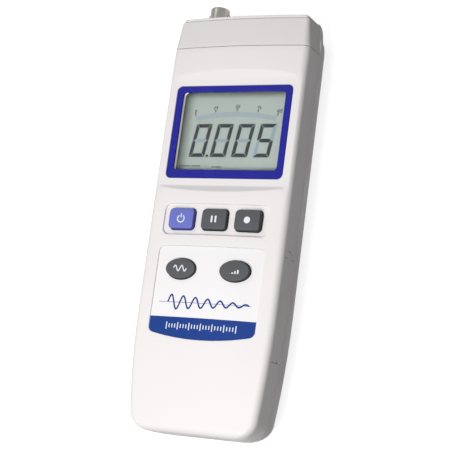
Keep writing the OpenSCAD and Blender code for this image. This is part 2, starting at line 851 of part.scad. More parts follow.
module row_key(x) {
    slab(key_w, key_h, key_r, flange_z, key_top - key_edge - flange_z, x, row_y);
    slab(key_w - key_edge, key_h - key_edge, key_r - key_edge / 2, flange_z, key_top - flange_z, x, row_y);
    slab(key_w + 2 * flange_rim, key_h + 2 * flange_rim, key_r, flange_z, flange_t, x, row_y);
}

module oval_key(x) {
    translate([x, oval_y, flange_z]) {
        linear_extrude(key_top - key_edge - flange_z) oval(oval_w, oval_h);
        linear_extrude(key_top - flange_z) oval(oval_w - key_edge, oval_h - key_edge);
        linear_extrude(flange_t) oval(oval_w + 2 * flange_rim, oval_h + 2 * flange_rim);
    }
}

module power_key() {
    color(key_blue) placed() row_key(row_x[0]);
}

module hold_key() {
    color(key_grey) placed() row_key(row_x[1]);
}

module record_key() {
    color(key_grey) placed() row_key(row_x[2]);
}

module function_key() {
    color(key_grey) placed() oval_key(oval_x[0]);
}

module unit_key() {
    color(key_grey) placed() oval_key(oval_x[1]);
}

module label() {
    color(label_color) placed() difference() {
        intersection() {
            translate([0, 0, part_z]) linear_extrude(case_t) label_outline(0);
            under_crown(label_depth - label_t);
        }
        under_crown(label_depth);
        for (x = oval_x) translate([x, oval_y, part_z]) linear_extrude(case_t)
            oval(oval_w + 2 * key_gap, oval_h + 2 * key_gap);
    }
}

module side_panel() {
    color(shell_color) placed() difference() {
        union() {
            side_strip(side_low, side_l, side_z, side_w);
            side_strip(side_low, side_l + tongue_l, side_tongue_z - side_tongue_w / 2, side_tongue_w);
            hook(side_low, -1);
            hook(side_low + side_l + tongue_l, 1);
        }
        translate([half_w(side_low) - 2 * wall, side_low - over, notch_z - notch_h / 2])
            cube([case_w, over + notch_w, notch_h]);
    }
}

// Strip of the side panel, whose faces follow the wall
module side_strip(low, l, z, w) {
    ys = [for (k = [0 : taper_steps]) low + l * k / taper_steps];
    translate([0, 0, z]) linear_extrude(w) polygon(concat(
        [for (y = ys) [half_w(y), y]],
        [for (k = [taper_steps : -1 : 0]) [half_w(ys[k]) - side_t, ys[k]]]));
}

// Hook of the side panel, which reaches behind the shell's wall at the end y
module hook(y, out) {
    root = y - out * ledge;
    x = half_w(y + out * ledge) - wall - hook_gap - ledge;
    low = side_tongue_z - hook_w / 2;
    translate([x, min(y, root), low]) cube([half_w(root) - x - side_t / 2, ledge, hook_w]);
    translate([x, min(y, y + out * ledge), low]) cube([ledge, ledge, hook_w]);
}

module socket_body() {
    color(nickel) placed() translate([-socket_x, case_l, socket_z]) rotate([-90, 0, 0]) difference() {
        union() {
            cylinder(r = flange_r, h = socket_flange_t);
            cylinder(r = barrel_r, h = socket_out);
            translate([0, 0, -stem_l]) cylinder(r = stem_r, h = stem_l + over);
            translate([0, 0, socket_out - lug_back]) rotate([0, 90, 0])
                translate([0, 0, -barrel_r - lug_reach]) cylinder(r = lug_r, h = 2 * (barrel_r + lug_reach));
        }
        translate([0, 0, socket_flange_t]) cylinder(r = barrel_in_r, h = socket_out);
        translate([0, 0, -stem_l - over]) cylinder(r = insulator_r + running, h = socket_out + stem_l);
    }
}

module socket_insulator() {
    color(white) placed() difference() {
        rod_y(insulator_r, -socket_x, case_l - stem_l, socket_z, stem_l + socket_out - insulator_short);
        rod_y(contact_r + running, -socket_x, case_l - stem_l - over, socket_z, stem_l + socket_out + over);
    }
}

module socket_contact() {
    low = case_l - board_top_gap + seat;
    high = case_l + socket_out - contact_short;
    color(brass) placed() difference() {
        rod_y(contact_r, -socket_x, low, socket_z, high - low);
        rod_y(contact_hole_r, -socket_x, high - stem_l / 2, socket_z, stem_l);
    }
}

module socket_washer() {
    color(steel) placed() difference() {
        rod_y(washer_r, -socket_x, case_l - end_wall - washer_t, socket_z, washer_t);
        rod_y(stem_r + running, -socket_x, case_l - stem_l, socket_z, stem_l);
    }
}

module socket_nut() {
    color(nickel) placed() difference() {
        translate([-socket_x, case_l - end_wall - washer_t - nut_t, socket_z]) rotate([-90, 0, 0])
            cylinder(r = nut_flats / sqrt(3), h = nut_t, $fn = 6);
        rod_y(stem_r + running, -socket_x, case_l - stem_l, socket_z, stem_l);
    }
}

// Outer face of the left wall, and front face of what stands behind it
function left_x(y) = -half_w(y) + sunk;
function body_x(y) = -half_w(y) + wall + stand_off;

module jack_body(y, bore_r) {
    difference() {
        union() {
            translate([body_x(y), y - jack_w / 2, board_z]) cube([jack_l, jack_w, jack_h]);
            rod_x(collar_r, left_x(y), y, jack_z, wall + stand_off + over);
        }
        rod_x(bore_r, left_x(y) - over, y, jack_z, bore_l + over);
    }
}

module data_jack() {
    color(chip_color) placed() jack_body(data_y, data_r);
}

module power_jack() {
    color(chip_color) placed() jack_body(power_jack_y, power_jack_r);
}

module power_jack_pin() {
    color(nickel) placed()
        rod_x(contact_pin_r, left_x(power_jack_y) + pin_in, power_jack_y, jack_z, bore_l - pin_in);
}

module reset_switch() {
    color(chip_color) placed() difference() {
        translate([body_x(reset_y), reset_y - switch_l / 2, board_z]) cube([switch_l, switch_l, jack_h]);
        rod_x(button_r + running, -case_w / 2, reset_y, jack_z,
            case_w / 2 + body_x(reset_y) + button_l + 2 * reset_travel);
    }
}

module reset_button() {
    color(white) placed() rod_x(button_r, left_x(reset_y), reset_y, jack_z,
        wall + stand_off - sunk + button_l);
}

module trimmer_body() {
    color(steel) placed() difference() {
        translate([body_x(trimmer_y), trimmer_y - trimmer_l / 2, board_z])
            cube([trimmer_l, trimmer_l, jack_h]);
        rod_x(shaft_r + running, -case_w / 2, trimmer_y, jack_z, case_w / 2);
    }
}

module trimmer_rotor() {
    x = left_x(trimmer_y);
    color(white) placed() difference() {
        union() {
            rod_x(rotor_r, x, trimmer_y, jack_z, wall + stand_off - sunk - gap);
            rod_x(shaft_r, x, trimmer_y, jack_z, wall + stand_off - sunk + trimmer_l);
        }
        translate([x - over, trimmer_y - rotor_slot_w / 2, jack_z - rotor_r])
            cube([rotor_slot_d + over, rotor_slot_w, 2 * rotor_r]);
    }
}

module battery() {
    color(steel) placed() {
        block(battery_w, battery_l, battery_t, 0, battery_y, door_t + 2 * seat);
        for (x = [-1, 1]) rod_y(terminal_r, x * terminal_pitch / 2, battery_y + battery_l - over,
            door_t + 2 * seat + battery_t / 2, terminal_h + over);
    }
}

module battery_snap() {
    color(chip_color) placed()
        block(battery_w - 2 * snap_in, snap_t, battery_t - 2 * terminal_h,
            0, snap_y, door_t + 2 * seat + terminal_h);
}

module battery_leads() {
    low = door_t + 2 * seat + battery_t - terminal_h;
    color("red") placed() for (x = [-1, 1])
        translate([x * terminal_pitch / 2, snap_y + snap_t / 2, low])
            cylinder(r = lead_r, h = board_z - board_t - low, $fn = 16);
}

module battery_door() {
    color(shell_color) placed() difference() {
        union() {
            block(door_w, door_l, door_t, 0, door_y, 0);
            block(door_w + 2 * tongue, door_l, tongue_t, 0, door_y, door_t - tongue_t);
        }
        // Thumb grooves
        for (k = [0 : groove_n - 1])
            block(thumb_w, groove_w, over + groove_d, 0, door_y + thumb_l + k * groove_pitch, -over);
    }
}

module tilt_stand() {
    color(shell_color) placed() difference() {
        union() {
            block(stand_w, stand_l, stand_t, 0, hinge_y - stand_l, hinge_z - knuckle_r);
            rod_x(knuckle_r, -stand_w / 2, hinge_y, hinge_z, stand_w);
            rod_x(pin_r, -stand_w / 2 - pocket_gap - pin_l + seat, hinge_y, hinge_z,
                stand_w + 2 * (pocket_gap + pin_l - seat));
        }
        slab(stand_slot_w, stand_slot_l, knuckle_r, -over, case_t, 0, hinge_y - stand_l / 2);
    }
}

module case_screws() {
    color(steel) placed() for (p = case_xy) translate([p[0], p[1], case_seat_z]) {
        cylinder(r = case_screw_r, h = case_screw_l);
        difference() {
            translate([0, 0, -case_head_t]) cylinder(r = case_head_r, h = case_head_t);
            cross_slot(case_head_r, -case_head_t);
        }
    }
}

front_case();
rear_case();
end_cap();
window_frame();
window_pane();
display_glass();
display_holder();
zebra_strips();
circuit_board();
processor();
amplifier_chips();
capacitors();
crystal();
board_screws();
keypad_mat();
power_key();
hold_key();
record_key();
function_key();
unit_key();
label();
side_panel();
socket_body();
socket_insulator();
socket_contact();
socket_washer();
socket_nut();
data_jack();
power_jack();
power_jack_pin();
reset_switch();
reset_button();
trimmer_body();
trimmer_rotor();
battery();
battery_snap();
battery_leads();
battery_door();
tilt_stand();
case_screws();
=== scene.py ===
"""Handheld vibration meter: detailed pieces and finishes built round its solid frame."""

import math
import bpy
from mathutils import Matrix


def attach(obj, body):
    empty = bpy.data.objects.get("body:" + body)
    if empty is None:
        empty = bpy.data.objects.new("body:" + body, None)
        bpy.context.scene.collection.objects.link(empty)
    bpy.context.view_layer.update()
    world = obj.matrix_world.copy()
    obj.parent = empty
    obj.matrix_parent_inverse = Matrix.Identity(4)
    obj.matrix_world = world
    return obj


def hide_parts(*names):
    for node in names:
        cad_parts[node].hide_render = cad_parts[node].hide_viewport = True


bl_info = {
    "name": "Handheld vibration meter",
    "version": (1, 0, 0),
    "blender": (4, 5, 0),
    "location": "View3D > Sidebar > Meter",
    "description": "Builds the visible pieces of a handheld vibration meter round its solid frame",
    "category": "Object",
}

import bmesh
import bpy
import numpy as np
from mathutils import Matrix, Vector
from mathutils.geometry import delaunay_2d_cdt

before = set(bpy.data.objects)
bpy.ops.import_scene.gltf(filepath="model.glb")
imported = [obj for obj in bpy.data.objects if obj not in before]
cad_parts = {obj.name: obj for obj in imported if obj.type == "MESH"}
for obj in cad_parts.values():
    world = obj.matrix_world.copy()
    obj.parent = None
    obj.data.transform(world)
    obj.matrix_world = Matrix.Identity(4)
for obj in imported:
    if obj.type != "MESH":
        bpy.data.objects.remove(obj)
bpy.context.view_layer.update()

# Meshes are worked out in millimetres, with y counted from the lower end of the housing
MM = 0.001
SHIFT_Y = -106.8
LENGTH = 203.0
HALF_W = 36.3
FACE_Z = 38.0
WALL = 2.2
END_WALL = 2.4
PART_Z = 21.5
SEAM_Y = 187.1
BACK_SEAM_Y = 194.5
LIP_W = 1.7
DISPLAY_Z = 35.5
WINDOW_Y = 145.0
FRAME_Y = 144.4
RAMP_LOW_Y = 117.5
RAMP_HIGH_Y = 168.6
RAMP_LOW = math.tan(math.radians(36))
RAMP_BOW = 0.061
PAD = 3.3
ROW_Y = 100.5
ROW_X = (-17.3, 0.0, 17.3)
OVAL_Y = 76.3
OVAL_X = (-14.05, 14.05)
KEY_TOP = 38.8
FLANGE_Z = 33.44
SIDE_LOW, SIDE_HIGH, SIDE_TIP = 36.35, 85.25, 88.65
SIDE_Z = (25.55, 29.25, 32.2)
SOCKET_X, SOCKET_Z, SOCKET_OUT = -21.8, 19.5, 10.6
JACK_Z = 30.0
GLASS_TOP = 32.1
GAP = 0.15
KEY_GAP = 0.35


# Sizes and colours that a user may change

def length_property(name, text, value, low, high):
    """Length that is written here in millimetres."""
    return bpy.props.FloatProperty(
        name=name, description=text, default=value * MM, min=low * MM, max=high * MM,
        unit="LENGTH", precision=5)


def linear(level):
    """Linear value of a colour level from 0 to 255."""
    c = level / 255
    return c / 12.92 if c <= 0.04045 else ((c + 0.055) / 1.055) ** 2.4


def tone(levels):
    return tuple(linear(level) for level in levels)


def colour_property(name, text, levels):
    return bpy.props.FloatVectorProperty(
        name=name, description=text, subtype="COLOR", size=3, min=0.0, max=1.0, default=tone(levels))


class MeterSizes(bpy.types.PropertyGroup):
    edge_r: length_property("Front edge radius", "Radius of the long front edges", 3.5, 2.5, 4.0)
    corner_r: length_property("Lower corner radius", "Radius of the lower corners", 9.0, 6.0, 12.0)
    lip_step: length_property("Lip groove", "Depth of the groove along the cap's upper edge", 0.55, 0.2, 1.0)
    label_depth: length_property("Label depth", "Depth of the label's face below the crown", 0.62, 0.3, 0.75)
    key_crown: length_property("Key crown", "Height by which a key's top is crowned", 0.42, 0.0, 0.6)
    digit_height: length_property("Digit height", "Height of the display's digits", 16.6, 12.0, 17.0)


class MeterColours(bpy.types.PropertyGroup):
    shell: colour_property("Shell", "Off-white of the two shells", (227, 223, 223))
    # The cap's grey, darker than the shell's, is partly its own tone and partly painted shade of its face tipping away
    # from the light
    cap: colour_property("Cap", "Warm grey of the end cap", (217, 214, 213))
    bezel: colour_property("Window frame", "Blue of the window frame", (36, 38, 142))
    lcd: colour_property("Display", "Green grey of the display", (123, 131, 126))
    digits: colour_property("Digits", "Dark grey of the display's segments", (34, 38, 42))
    key_blue: colour_property("Power key", "Blue of the power key", (104, 114, 190))
    key_grey: colour_property("Keys", "Grey of the other keys", (84, 86, 90))
    label: colour_property("Label", "White of the label", (231, 229, 229))
    band: colour_property("Band", "Blue of the label's band", (28, 60, 132))


def size(name):
    """One of the sizes that a user may change, in millimetres."""
    return round(getattr(bpy.context.scene.meter_sizes, name) / MM, 4)


# Form of the housing

CROWN_RISE = 2.2
CROWN_R = (HALF_W ** 2 + CROWN_RISE ** 2) / 2 / CROWN_RISE
CAP_LENGTH = LENGTH - SEAM_Y
LOW_TAPER, CAP_TAPER, TAPER_REACH = 4.2, 2.1, 0.3 * LENGTH
CAP_CRISPER = 1.7
SIDE_DRAFT = 0.3
SEAM_EDGE = 0.4
SEAM_GAP = 0.16
SEAM_DEPTH = 1.1
SEAM_MARKS = (0.24, 0.17, 0.15, 0.0)
END_EDGE = 0.4
PART_EDGE = 0.35
BACK_R = 5.0
REAR_LEAN, REAR_LEAN_GAIN = 6.5, 0.5

# How much the face drops and the back lifts at each end, and over what reach
FACE_LOW, FACE_HIGH = (1.8, 40.0), (1.6, 30.0)
BACK_LOW, BACK_HIGH = (15.5, 10.0), (4.0, 26.0)


def low_share(y, reach):
    """1 at the lower end, falling to 0 at the distance reach from it."""
    return max(0.0, reach - y) / reach


def high_share(y, reach):
    """1 at the upper end, falling to 0 at the distance reach from it."""
    return max(0.0, y - LENGTH + reach) / reach


def arc_drop(r, d):
    """How far a rounded edge of the radius r drops at the distance d inside it."""
    return 0.0 if d >= r else r - math.sqrt(max(0.0, r * r - (r - d) ** 2))


def crown(x):
    return CROWN_R - math.sqrt(CROWN_R * CROWN_R - x * x)


def half_w(y):
    return (HALF_W - LOW_TAPER * low_share(y, TAPER_REACH) ** 2 - CAP_TAPER * high_share(y, CAP_LENGTH)
            - arc_drop(size("corner_r"), y))


def edge_radius(y):
    """Radius of the long front edges, which get crisper along the cap."""
    return size("edge_r") - CAP_CRISPER * high_share(y, CAP_LENGTH)


def face_z(y):
    return (FACE_Z - FACE_LOW[0] * low_share(y, FACE_LOW[1]) ** 2 - FACE_HIGH[0] * high_share(y, FACE_HIGH[1]) ** 2
            - arc_drop(size("edge_r"), y) - arc_drop(END_EDGE, LENGTH - y))


def back_z(y):
    return BACK_LOW[0] * low_share(y, BACK_LOW[1]) ** 1.5 + BACK_HIGH[0] * high_share(y, BACK_HIGH[1]) ** 2.2


def rear_x(y, z):
    return half_w(y) - (REAR_LEAN + REAR_LEAN_GAIN * y / LENGTH) * low_share(z, PART_Z) ** 1.5


def smooth_min(a, b, k):
    h = max(k - abs(a - b), 0.0) / k
    return min(a, b) - h * h * k / 4


def scoop_z(y):
    """Height of the flat display area with its straight lower ramp and its hollow upper one."""
    low = (RAMP_LOW_Y - y) * RAMP_LOW
    up = y - RAMP_HIGH_Y
    high = RAMP_BOW * up * up if up > 0 else up
    return DISPLAY_Z - smooth_min(0.0, -max(low, high), 0.35)


def top_z(x, y):
    return smooth_min(face_z(y) - crown(x), scoop_z(y), 0.3)


# Outlines seen from the front, each grown by an offset

OUTLINE_STEP = 2.2
LEAST_R = 0.05
CORNERS = ((1, 1, 0), (-1, 1, 90), (-1, -1, 180), (1, -1, 270))
LABEL_W, LABEL_TOP, LABEL_R, LABEL_ARCH = 27.5, 87.4, 3.0, 119.0
ARCH_Y = 43.2 + LABEL_ARCH


def arc(x, y, r, start, sweep, n=8):
    """Points on an arc from the angle start, through the angle sweep."""
    turns = [math.radians(start + sweep * k / n) for k in range(n + 1)]
    return [(x + r * math.cos(a), y + r * math.sin(a)) for a in turns]


def across(reach, y, n=24):
    """Points of a line at y, from -reach to reach."""
    return [(reach * (2 * k / n - 1), y) for k in range(n + 1)]


def round_rect(w, h, r, cx, cy, grow=0.0):
    w, h, r = w / 2 + grow, h / 2 + grow, max(r + grow, LEAST_R)
    loop = []
    for qx, qy, start in CORNERS:
        loop += arc(cx + qx * (w - r), cy + qy * (h - r), r, start, 90)
    return fill_in(loop, OUTLINE_STEP)


def oval(w, h, cx, cy, grow=0.0, n=64):
    return [(cx + (w / 2 + grow) * math.cos(2 * math.pi * k / n),
             cy + (h / 2 + grow) * math.sin(2 * math.pi * k / n)) for k in range(n)]


def label_corner(grow=0.0):
    """Radius of the label's corners, radius of its arch, and centre of its lower right corner."""
    r, arch = max(LABEL_R + grow, LEAST_R), LABEL_ARCH + grow
    inner_x = LABEL_W + grow - r
    return r, arch, inner_x, ARCH_Y - math.sqrt((arch - r) ** 2 - inner_x ** 2)


def label_outline(grow=0.0):
    """Label with three straight sides, an arched lower edge and four rounded corners."""
    r, arch, inner_x, inner_y = label_corner(grow)
    top = LABEL_TOP + grow - r
    lean = math.degrees(math.atan2(inner_x, ARCH_Y - inner_y))
    loop = arc(inner_x, top, r, 0, 90) + arc(-inner_x, top, r, 90, 90)
    loop += arc(-inner_x, inner_y, r, 180, 90 - lean)
    loop += arc(0.0, ARCH_Y, arch, -90 - lean, 2 * lean, 24)[1:-1]
    loop += arc(inner_x, inner_y, r, lean - 90, 90 - lean)
    return fill_in(loop, OUTLINE_STEP)


def fill_in(loop, step):
    """The closed loop with points added so that none of its sides is longer than step."""
    out = []
    for p, q in zip(loop, loop[1:] + loop[:1]):
        length = math.dist(p, q)
        if length < 1e-6:
            continue
        n = max(1, math.ceil(length / step))
        out += [(p[0] + (q[0] - p[0]) * k / n, p[1] + (q[1] - p[1]) * k / n) for k in range(n)]
    return out


def inside_loop(points, loop):
    """For each point, whether it lies inside the closed loop."""
    p = np.asarray(points, float)
    q = np.asarray(loop, float)
    result = np.zeros(len(p), bool)
    near = ((p >= q.min(0)) & (p <= q.max(0))).all(1)
    x, y = p[near, 0][:, None], p[near, 1][:, None]
    x1, y1 = q[:, 0][None], q[:, 1][None]
    x2, y2 = np.roll(q[:, 0], -1)[None], np.roll(q[:, 1], -1)[None]
    crosses = (y1 > y) != (y2 > y)
    with np.errstate(divide="ignore", invalid="ignore"):
        hits = crosses & (x < (x2 - x1) * (y - y1) / (y2 - y1) + x1)
    result[near] = hits.sum(1) % 2 == 1
    return result


def distance_to(points, loops):
    """Distance of each point to the nearest point of the loops."""
    p = np.asarray(points, float)
    q = np.concatenate([np.asarray(loop, float) for loop in loops])
    best = np.full(len(p), 1e9)
    for k in range(0, len(q), 400):
        d = np.linalg.norm(p[:, None] - q[None, k:k + 400], axis=2).min(1)
        best = np.minimum(best, d)
    return best


ROW_PITCH = 0.866
CLEAR = 0.55
RECESS_DRAFT = 0.06


def triangulate(border, loops, lines, holes, step):
    """Triangles over a face: its border, the loops and open lines on it, less the holes."""
    points, edges = [], []

    def add(path, closed):
        start = len(points)
        points.extend(path)
        edges.extend((start + k, start + k + 1) for k in range(len(path) - 1))
        if closed:
            edges.append((start + len(path) - 1, start))

    add(border, True)
    for loop in loops:
        add(loop, True)
    for line in lines:
        add(line, False)
    for hole in holes:
        add(hole, True)
    lows, highs = np.min(border, 0), np.max(border, 0)
    grid = []
    for row, y in enumerate(np.arange(lows[1] + step / 2, highs[1], step * ROW_PITCH)):
        for x in np.arange(lows[0] + (step / 2 if row % 2 else step), highs[0], step):
            grid.append((x, y))
    grid = np.array(grid)
    keep = inside_loop(grid, border)
    for hole in holes:
        keep &= ~inside_loop(grid, hole)
    grid = grid[keep]
    grid = grid[distance_to(grid, [points]) > step * CLEAR]
    points.extend(map(tuple, grid))
    coords, _, faces, *_ = delaunay_2d_cdt(
        [Vector(p) for p in points], edges, [], 0, 1e-5)
    coords = np.array([tuple(c) for c in coords])
    faces = np.array([tuple(f) for f in faces])
    middles = coords[faces].mean(1)
    keep = inside_loop(middles, border)
    for hole in holes:
        keep &= ~inside_loop(middles, hole)
    return [tuple(c) for c in coords], [tuple(map(int, f)) for f in faces[keep]]


def recess(sd, depth, edge, floor=0.0):
    """Depth of a recess at the signed distance sd outside its outline, with rounded edge and floor."""
    if sd >= 0:
        return arc_drop(edge, sd)
    if sd >= -RECESS_DRAFT:
        return edge + (depth - floor - edge) * (-sd / RECESS_DRAFT)
    return depth - arc_drop(floor, -sd - RECESS_DRAFT)


def recess_offsets(edge, floor=0.0):
    """Offsets of the loops that a recess needs across its edge and its floor's rounding."""
    rings = [edge * f for f in (1.0, 0.72, 0.45, 0.2, 0.06)] + [0.0, -RECESS_DRAFT]
    if floor:
        rings += [-RECESS_DRAFT - floor * f for f in (0.3, 0.65, 1.0)]
    return rings


def sd_round_rect(w, h, r, cx, cy):
    def sd(x, y):
        qx = abs(x - cx) - (w / 2 - r)
        qy = abs(y - cy) - (h / 2 - r)
        return math.hypot(max(qx, 0.0), max(qy, 0.0)) + min(max(qx, qy), 0.0) - r
    return sd


def sd_oval(w, h, cx, cy):
    def sd(x, y):
        a, b = w / 2, h / 2
        k = math.hypot((x - cx) / a, (y - cy) / b)
        g = math.hypot((x - cx) / a ** 2, (y - cy) / b ** 2)
        return k * (k - 1) / g if g > 1e-9 else -b
    return sd


def sd_label(x, y):
    """Signed distance to the label's outline, with its rounded corners."""
    r, arch, inner_x, inner_y = label_corner()
    ax = abs(x)
    if ax > inner_x and y > LABEL_TOP - r:
        return math.hypot(ax - inner_x, y - LABEL_TOP + r) - r
    if ax > inner_x and y < inner_y and inner_x * (y - ARCH_Y) / (inner_y - ARCH_Y) < ax:
        return math.hypot(ax - inner_x, y - inner_y) - r
    return max(ax - LABEL_W, y - LABEL_TOP, math.hypot(x, y - ARCH_Y) - arch)


# Meshes

def merge(outer, inner, faces):
    """The skin with its equal points made one."""
    index, keep_out, keep_in, new = {}, [], [], []
    for p, q in zip(outer, inner):
        key = (round(p[0], 4), round(p[1], 4), round(p[2], 4))
        if key not in index:
            index[key] = len(keep_out)
            keep_out.append(p)
            keep_in.append(q)
        new.append(index[key])
    out = []
    for f in faces:
        g = []
        for k in f:
            if not g or new[k] != g[-1]:
                g.append(new[k])
        if len(g) > 1 and g[0] == g[-1]:
            g.pop()
        if len(set(g)) > 2:
            out.append(tuple(g))
    return keep_out, keep_in, out


def thicken(outer, inner, faces):
    """Closed body between a skin and its inner copy, which have the same faces."""
    outer, inner, faces = merge(outer, inner, faces)
    n = len(outer)
    used = dict.fromkeys((a, b) for f in faces for a, b in zip(f, f[1:] + f[:1]))
    body = list(faces) + [tuple(k + n for k in reversed(f)) for f in faces]
    body += [(b, a, a + n, b + n) for a, b in used if (b, a) not in used]
    return outer + inner, body


def quads(rows, count, start=0, ring=True, torus=False):
    """Faces between rows of count points, each row closed if ring, the last joined to the first if torus."""
    faces = []
    for k in range(rows if torus else rows - 1):
        a, b = start + k * count, start + (k + 1) % rows * count
        for j in range(count if ring else count - 1):
            i = (j + 1) % count
            faces.append((a + j, a + i, b + i, b + j))
    return faces


def in_metres(points):
    return [(x * MM, (y + SHIFT_Y) * MM, z * MM) for x, y, z in points]


def shade(mesh, angle):
    """Smooth shading, with edges sharper than the angle kept sharp."""
    mesh.shade_smooth()
    mesh.set_sharp_from_angle(angle=math.radians(angle))


def linked(name, data):
    """Object of that name in the scene, with its origin at the frame's."""
    obj = bpy.data.objects.new(name, data)
    bpy.context.scene.collection.objects.link(obj)
    return obj


def new_object(name, points, faces, materials, smooth=32, indices=None):
    """Object at the origin from points in millimetres, counted from the lower end."""
    mesh = bpy.data.meshes.new(name)
    mesh.from_pydata(in_metres(points), [], faces)
    for material in materials:
        mesh.materials.append(material)
    if indices is not None:
        mesh.polygons.foreach_set("material_index", indices)
    mesh.validate()
    work = bmesh.new()
    work.from_mesh(mesh)
    bmesh.ops.triangulate(work, faces=[f for f in work.faces if len(f.verts) > 4])
    bmesh.ops.recalc_face_normals(work, faces=work.faces)
    work.to_mesh(mesh)
    work.free()
    shade(mesh, smooth)
    return linked(name, mesh)


def mesh_lists(work):
    """Points and faces of a bmesh, which is freed."""
    points = [tuple(v.co) for v in work.verts]
    faces = [tuple(v.index for v in f.verts) for f in work.faces]
    work.free()
    return points, faces


def baked(obj):
    """The object's mesh with its modifiers applied, and the modifiers removed."""
    depsgraph = bpy.context.evaluated_depsgraph_get()
    mesh = bpy.data.meshes.new_from_object(obj.evaluated_get(depsgraph))
    obj.modifiers.clear()
    obj.data = mesh
    return obj


def carve(obj, cutters, operation="DIFFERENCE", smooth=32):
    """Cuts the cutters out of the object, or joins them to it, and removes them."""
    for k, cutter in enumerate(cutters):
        cut = obj.modifiers.new("cut%d" % k, "BOOLEAN")
        cut.operation = operation
        cut.solver = "EXACT"
        cut.object = cutter
    bpy.context.view_layer.update()
    baked(obj)
    for cutter in cutters:
        bpy.data.objects.remove(cutter)
    shade(obj.data, smooth)
    return obj


def cylinder(name, r, start, axis, length, n=48, r_end=None):
    """Cylinder or cone from a point along an axis, in millimetres."""
    work = bmesh.new()
    turn = Vector((0, 0, 1)).rotation_difference(Vector(axis)).to_matrix().to_4x4()
    middle = Vector(start) + Vector(axis) * length / 2
    bmesh.ops.create_cone(
        work, cap_ends=True, segments=n, radius1=r, radius2=r if r_end is None else r_end,
        depth=length, matrix=Matrix.Translation(middle) @ turn)
    return new_object(name, *mesh_lists(work), [])


def plates(name, loops, low, high, material):
    """Thin closed plates over the loops, between two heights that depend on the place."""
    points, faces = [], []
    for loop in loops:
        area = sum(p[0] * q[1] - q[0] * p[1] for p, q in zip(loop, loop[1:] + loop[:1]))
        loop = loop if area > 0 else loop[::-1]
        start, n = len(points), len(loop)
        points += [(x, y, low(x, y)) for x, y in loop] + [(x, y, high(x, y)) for x, y in loop]
        faces.append(tuple(start + k for k in reversed(range(n))))
        faces.append(tuple(start + n + k for k in range(n)))
        faces += quads(2, n, start)
    return new_object(name, points, faces, [finishes()[material]])


def revolve(profile, x, z, n=72):
    """Points and faces of a closed profile of (radius, y) turned about an axis along the housing."""
    points = []
    for k in range(n):
        a = 2 * math.pi * k / n
        points += [(x + r * math.cos(a), y, z + r * math.sin(a)) for r, y in profile]
    return points, quads(n, len(profile), torus=True)


def new_node(nodes, kind, **values):
    """New node with its inputs set by name, an underscore standing for a blank."""
    node = nodes.new(kind)
    for name, value in values.items():
        node.inputs[name.replace("_", " ")].default_value = value
    return node


def repeat_tree():
    """Geometry Nodes tree that puts a prototype on each point, turned and sized by its attributes."""
    tree = bpy.data.node_groups.new("repeat_on_points", "GeometryNodeTree")
    kinds = (("Geometry", "Geometry"), ("Prototype", "Object"), ("Scale", "Float"), ("Material", "Material"))
    keys = [tree.interface.new_socket(name, in_out="INPUT", socket_type="NodeSocket" + kind).identifier
            for name, kind in kinds]
    tree.interface.new_socket("Geometry", in_out="OUTPUT", socket_type="NodeSocketGeometry")
    nodes = tree.nodes
    given, result = nodes.new("NodeGroupInput"), nodes.new("NodeGroupOutput")
    info, put = nodes.new("GeometryNodeObjectInfo"), nodes.new("GeometryNodeInstanceOnPoints")
    real, paint = nodes.new("GeometryNodeRealizeInstances"), nodes.new("GeometryNodeSetMaterial")
    scale = nodes.new("ShaderNodeVectorMath")
    scale.operation = "SCALE"
    attributes = []
    for name in ("turn", "size"):
        node = nodes.new("GeometryNodeInputNamedAttribute")
        node.data_type = "FLOAT_VECTOR"
        node.inputs["Name"].default_value = name
        attributes.append(node.outputs["Attribute"])
    for source, target in (
            (given.outputs["Geometry"], put.inputs["Points"]),
            (given.outputs["Prototype"], info.inputs["Object"]),
            (info.outputs["Geometry"], put.inputs["Instance"]),
            (attributes[0], put.inputs["Rotation"]),
            (attributes[1], scale.inputs[0]),
            (given.outputs["Scale"], scale.inputs["Scale"]),
            (scale.outputs[0], put.inputs["Scale"]),
            (put.outputs["Instances"], real.inputs[0]),
            (real.outputs[0], paint.inputs["Geometry"]),
            (given.outputs["Material"], paint.inputs["Material"]),
            (paint.outputs[0], result.inputs[0])):
        tree.links.new(source, target)
    return tree, keys


TREE = []


def repeat(name, prototype, places, material):
    """One mesh of a prototype on all the places, each with its point, turn and size."""
    if not TREE:
        TREE.extend(repeat_tree())
    tree, keys = TREE
    mesh = bpy.data.meshes.new(name)
    mesh.from_pydata(in_metres([place[0] for place in places]), [], [])
    for label, index in (("turn", 1), ("size", 2)):
        values = mesh.attributes.new(label, "FLOAT_VECTOR", "POINT")
        values.data.foreach_set("vector", [v for place in places for v in place[index]])
    obj = linked(name, mesh)
    modifier = obj.modifiers.new("repeat", "NODES")
    modifier.node_group = tree
    for key, value in zip(keys[1:], (prototype, 1.0, finishes()[material])):
        modifier[key] = value
    bpy.context.view_layer.update()
    baked(obj)
    bpy.data.objects.remove(prototype)
    shade(obj.data, 32)
    return obj


def block(name, w, h, t):
    """Block round the origin, in millimetres."""
    work = bmesh.new()
    bmesh.ops.create_cube(work, size=1.0)
    bmesh.ops.scale(work, vec=(w, h, t), verts=work.verts)
    points, faces = mesh_lists(work)
    return new_object(name, [(x, y - SHIFT_Y, z) for x, y, z in points], faces, [])


def finish(obj, body, slot, *nodes):
    """The piece rides on its body and stands for its nodes, which it hides. The slot is not used."""
    if nodes:
        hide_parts(*nodes)
    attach(obj, body)
    return obj


def dress(node, material):
    """A solid of the frame that stays gets its finish."""
    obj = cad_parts[node]
    if not obj.material_slots:
        obj.data.materials.append(None)
    for place in obj.material_slots:
        place.link = "OBJECT"
        place.material = material


# Finishes

